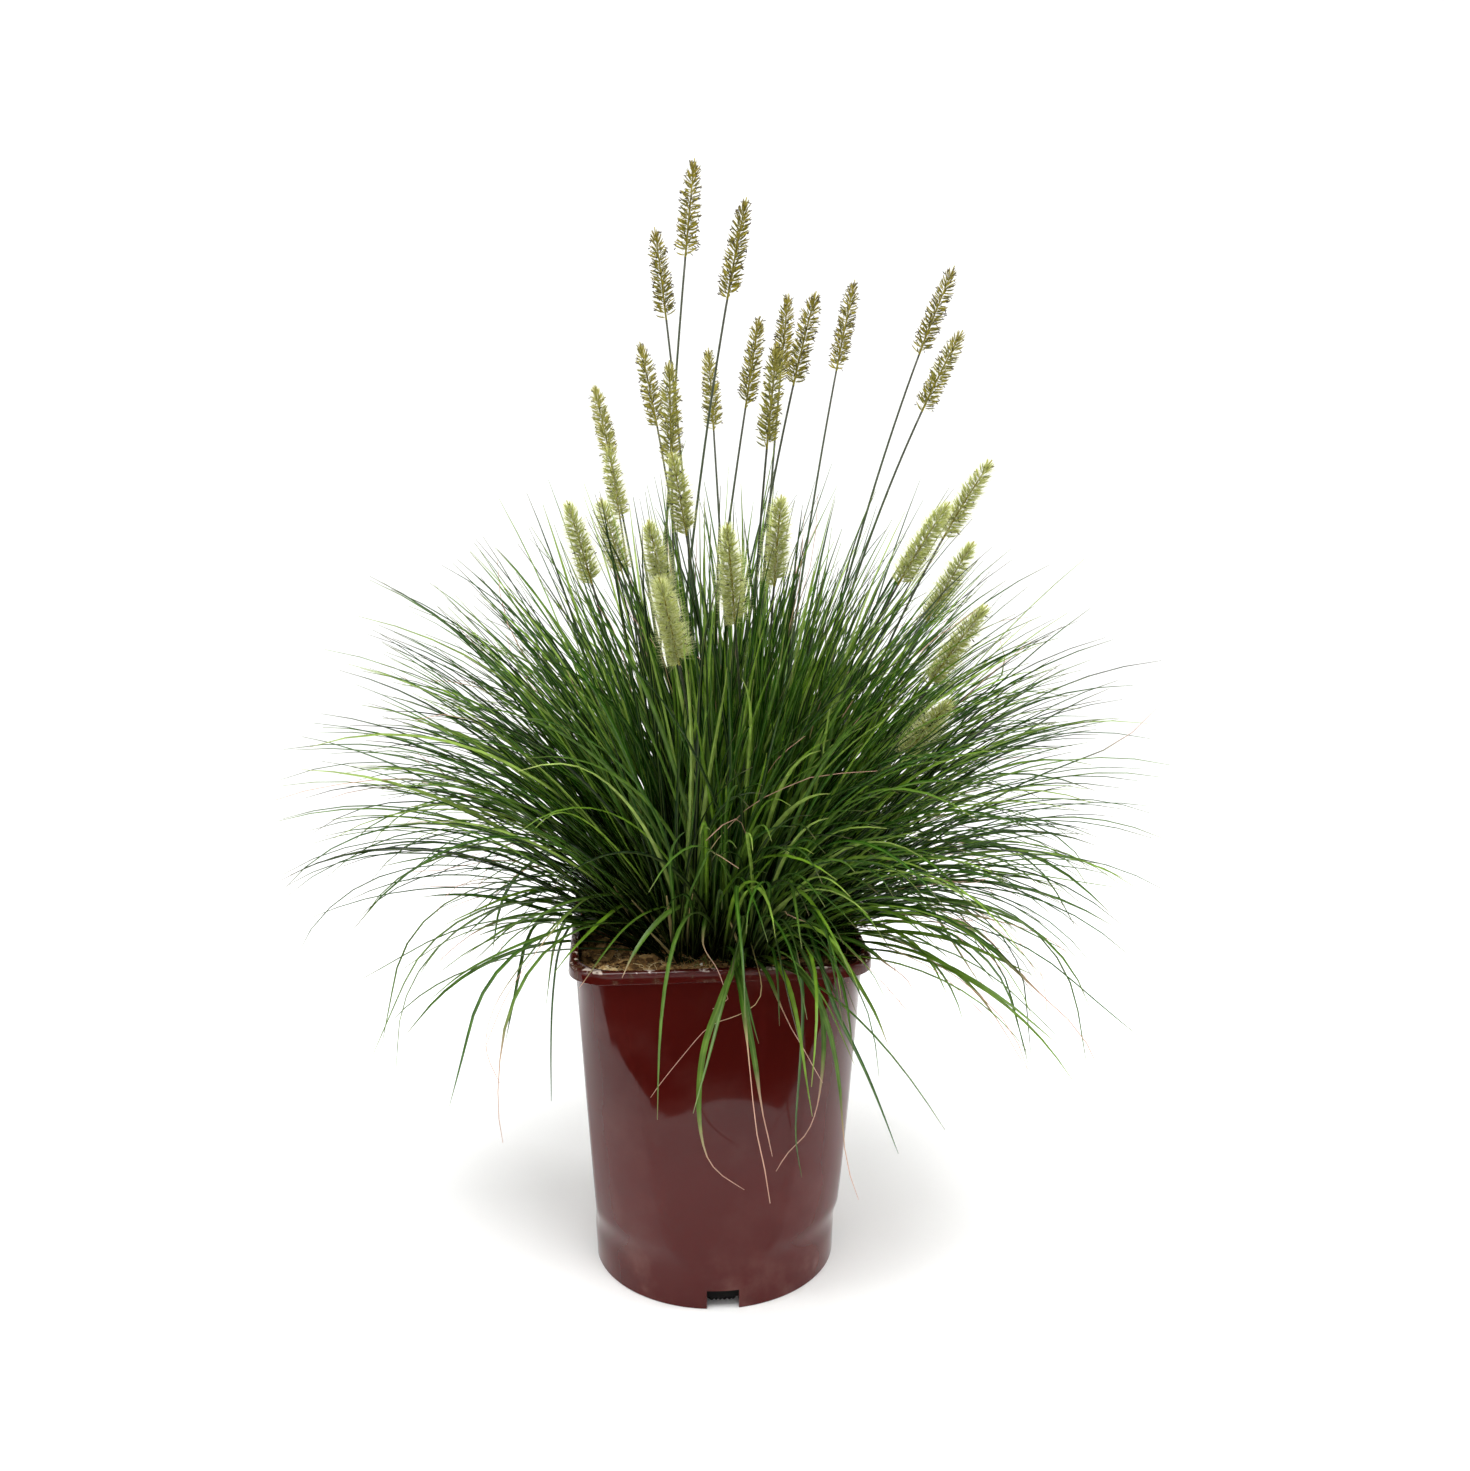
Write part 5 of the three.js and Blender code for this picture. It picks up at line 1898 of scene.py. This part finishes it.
def add_moss(pile, draws, count):
    """Moss: tiny green blades in patches near the rim."""
    centres = scatter(draws, 16)
    pick = centres[draws.integers(0, len(centres), count)]
    at = pick + draws.normal(0, 1, (count, 3)) * [5.5, 5.5, 0]
    at = at[np.abs(at[:, :2]).max(1) < MIX_REACH]
    at[:, 2] = [soil_height(x, y) - 0.8 + crumb(x, y) for x, y, _ in at]
    lean = unit(draws.normal(0, 0.55, at.shape) + [[0, 0, 1]])
    shape = placed(BRISTLE, at, lean, draws.uniform(1.6, 4.2, len(at)), np.full(len(at), 0.36),
                   draws.uniform(0, 6.3, len(at)))
    pile.add(shape, *BRISTLE[1:], tint=draws.uniform(0, 1, (len(at), 1)))


def chip_template():
    """A flat flake, long and pointed."""
    shape, quads, ends = spindle([0.0, 0.15, 0.8, 1.0], [0.6, 1.0, 0.9, 0.35], 6)
    return shape * [[1.0, 0.3, 1.0]], quads, ends


LUMP = lump_template()
CHIP = chip_template()
print("triangles in a crumb:", len(LUMP[1]) * 2 + len(LUMP[2]))

# %% [markdown]
# One scale of browns serves the mix and all its bits: darkest brown, then bark brown,
# then pale fibre. At the bottom of the pot, where the notches show it, the mix is
# painted nearly black: painted shade for the dark inside of the pot. Moss and perlite
# have finishes of their own.

# %% Potting mix materials
# Painted shade: nearly black, for the mix that the drain notches show.
SOIL_NOTCH_SHADE = srgb(5, 4, 3)
SOIL_BLACK = srgb(66, 46, 28)
SOIL_BROWN = srgb(138, 104, 62)
SOIL_BARK = srgb(184, 150, 98)
SOIL_FIBRE = srgb(222, 202, 156)


def soil_material(name, source):
    """The mix reads a tint from noise, and the bits read their own mark."""
    material, tree = new_material(name)
    if source == "mark":
        tint = mark(tree, "tint")
    else:
        tint = scaled(tree, speckle(tree, 240, 6), 0.3, 0.8, 0, 0.7)
    stops = [(0.0, SOIL_BLACK), (0.4, SOIL_BROWN), (0.72, SOIL_BARK), (1.0, SOIL_FIBRE)]
    colour = ramp(tree, tint, stops)
    shade = scaled(tree, speckle(tree, 700, 3), 0.3, 0.7, 0.7, 1.1)
    grey = wire(tree, "ShaderNodeCombineColor", {0: shade, 1: shade, 2: shade}).outputs[0]
    colour = blend(tree, 1.0, colour, grey, "MULTIPLY")
    # Painted shade: the mix turns nearly black in the lowest few centimetres.
    notch_shade = scaled(tree, height_of(tree), 0.02, 0.06, 1.0, 0.0)
    colour = blend(tree, notch_shade, colour, SOIL_NOTCH_SHADE)
    surface = wire(tree, "ShaderNodeBsdfPrincipled", {
        "Base Color": colour,
        "Roughness": 0.9,
        "Specular IOR Level": 0.15,
    })
    finish_with(tree, surface.outputs[0])
    return material


def plain_material(name, low, high, roughness):
    """A matt finish that runs from one colour to another with the tint of each bit."""
    material, tree = new_material(name)
    colour = ramp(tree, mark(tree, "tint"), [(0.0, low), (1.0, high)])
    inputs = {"Base Color": colour, "Roughness": roughness}
    finish_with(tree, wire(tree, "ShaderNodeBsdfPrincipled", inputs).outputs[0])
    return material


SOIL_FINISH = soil_material("potting_mix_top", "noise")
BITS_FINISH = soil_material("potting_mix_bits", "mark")
MOSS_FINISH = plain_material("moss", srgb(58, 84, 26), srgb(128, 150, 58), 0.8)
PERLITE_FINISH = plain_material("perlite", srgb(196, 188, 172), srgb(228, 222, 210), 0.9)
print("materials", SOIL_FINISH.name, BITS_FINISH.name, MOSS_FINISH.name, PERLITE_FINISH.name)

# %% Potting mix
bits = {name: Pile("tint") for name in ("bits", "moss", "perlite")}
draws = np.random.default_rng(LOOKS_SEED)
add_lumps(bits["bits"], draws, CRUMBS, (1.2, 4.2), 0.75, (0.1, 0.75))
add_chips(bits["bits"], draws, CHIPS)
add_fibres(bits["bits"], draws, FIBRES)
add_chunks(bits["bits"], draws)
# Painted shade: dark lumps in the drain notches.
add_notch_shade_plugs(bits["bits"], draws)
add_moss(bits["moss"], draws, MOSS_TUFTS)
add_lumps(bits["perlite"], draws, PERLITE, (1.2, 2.4), 0.8, (0, 1))

soil_pieces = [
    make_piece("potting_mix_surface", ringed_pile(soil_rings()), SOIL_FINISH),
    make_piece("potting_mix_bits", bits["bits"], BITS_FINISH, 50),
    make_piece("potting_mix_moss", bits["moss"], MOSS_FINISH),
    make_piece("potting_mix_perlite", bits["perlite"], PERLITE_FINISH),
]
for piece in soil_pieces:
    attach(piece, "root")
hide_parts("potting_mix")
print("triangles in the potting mix:", triangles_of(soil_pieces))

# %% [markdown]
# Floor and light
#
# A product picture wants a pale floor that runs up into the background without a
# line. A photographer hangs a roll of paper for it. Here a wide dish does the same on
# every side: flat in the middle, curved up at the rim, so that no horizon shows from
# any angle. Light comes from the sky above the dish and from four soft panels. Three of
# them light the plant: large panels give soft shadows, and long clean reflections in
# the glossy pot. The fourth lights the paper behind.

# %% Floor
FLOOR_FLAT = 1.9
FLOOR_BEND = 1.1
FLOOR_RIM = 2.8
FLOOR_SIDES = 96
BEND_STEPS = 16


def make_floor():
    """The dish of paper, as rings of a profile turned about the upright axis."""
    profile = [(0.001, 0.0), (0.5, 0.0), (1.0, 0.0), (FLOOR_FLAT, 0.0)]
    for step in range(1, BEND_STEPS + 1):
        turn = step / BEND_STEPS * math.pi / 2
        profile.append((
            FLOOR_FLAT + FLOOR_BEND * math.sin(turn),
            FLOOR_BEND * (1 - math.cos(turn)),
        ))
    profile.append((FLOOR_FLAT + FLOOR_BEND, FLOOR_RIM))
    angle = np.arange(FLOOR_SIDES) / FLOOR_SIDES * 2 * math.pi
    circle = np.stack([np.cos(angle), np.sin(angle), np.zeros(FLOOR_SIDES)], 1)
    rings = [circle * r + [[0, 0, z]] for r, z in profile]
    pile = Pile()
    quads, _ = tube_faces(len(rings), FLOOR_SIDES)
    pile.add(np.concatenate(rings)[None] / MM, quads[:, ::-1])
    material, tree = new_material("paper")
    inputs = {"Base Color": (0.95, 0.95, 0.945), "Roughness": 0.9, "Specular IOR Level": 0.1}
    finish_with(tree, wire(tree, "ShaderNodeBsdfPrincipled", inputs).outputs[0])
    floor = make_piece("floor", pile, material)
    return floor


floor = make_floor()
print("floor radius", FLOOR_FLAT + FLOOR_BEND, "m")

# %% [markdown]
# Glossy plastic shows whatever stands round it. With nothing but white paper to show,
# it would look milky, so photographers lay a dark card out of the picture, where the
# gloss picks it up. Here the card lies on the floor in front. Only reflections see it,
# and it throws no shadow. Its outline gives the dark shield in the pot's front panel.

# %% Dark card
CARD_OUTLINE = [
    (-1000, -220), (-330, -132), (-312, -180), (-271, -214), (-242, -247), (-211, -277),
    (-178, -305), (-139, -322), (-98, -333), (-50, -342), (-42, -330), (-29, -314),
    (-18, -318), (2, -333), (16, -339), (34, -339), (51, -331), (66, -320), (75, -335),
    (93, -380), (109, -446), (133, -409), (153, -375), (172, -356), (195, -348),
    (226, -345), (259, -311), (293, -275), (312, -250), (1000, -700),
    (1000, -1000), (-1000, -1000),
]


def make_card():
    """The card, 2 mm over the floor, seen by reflections alone."""
    mesh = bpy.data.meshes.new("dark_card")
    points = [(x * MM, y * MM, 2 * MM) for x, y in CARD_OUTLINE]
    mesh.from_pydata(points, [], [list(range(len(points)))])
    material, tree = new_material("dark_card")
    inputs = {"Base Color": (0.004, 0.004, 0.004), "Roughness": 1.0, "Specular IOR Level": 0.0}
    finish_with(tree, wire(tree, "ShaderNodeBsdfPrincipled", inputs).outputs[0])
    mesh.materials.append(material)
    card = bpy.data.objects.new("dark_card", mesh)
    bpy.context.scene.collection.objects.link(card)
    card.visible_camera = False
    card.visible_diffuse = False
    card.visible_transmission = False
    card.visible_shadow = False
    return card


card = make_card()
print("card corners:", len(CARD_OUTLINE))

# %% Lights
SKY_STRENGTH = 0.45


def soft_panel(name, place, aim, size, watts):
    """A rectangular panel of light that points at a place."""
    data = bpy.data.lights.new(name, "AREA")
    data.shape = "RECTANGLE"
    data.size, data.size_y = size
    data.energy = watts
    light = bpy.data.objects.new(name, data)
    light.location = place
    direction = Vector(aim) - Vector(place)
    light.rotation_euler = direction.to_track_quat("-Z", "Y").to_euler()
    light.visible_camera = False
    bpy.context.scene.collection.objects.link(light)
    return light


def set_sky():
    """An even white sky, which fills the shadows."""
    world = bpy.data.worlds.new("sky")
    world.use_nodes = True
    tree = world.node_tree
    tree.nodes.clear()
    inputs = {"Color": (1.0, 1.0, 1.0, 1.0), "Strength": SKY_STRENGTH}
    background = wire(tree, "ShaderNodeBackground", inputs)
    wire(tree, "ShaderNodeOutputWorld", {"Surface": background.outputs[0]})
    bpy.context.scene.world = world


set_sky()
panels = [
    soft_panel("overhead", (0.0, -0.55, 2.2), (0, 0, 0.4), (1.1, 1.1), 56),
    soft_panel("left", (-1.7, -0.6, 1.2), (0, 0, 0.4), (0.7, 1.6), 9),
    soft_panel("right", (1.7, -0.2, 1.1), (0, 0, 0.4), (0.7, 1.6), 18),
    soft_panel("background", (0, 1.5, 2.5), (0, 3.0, 0.9), (3.0, 0.8), 8),
]
bpy.context.scene.view_settings.view_transform = "Standard"
print("lights:", [panel.name for panel in panels])
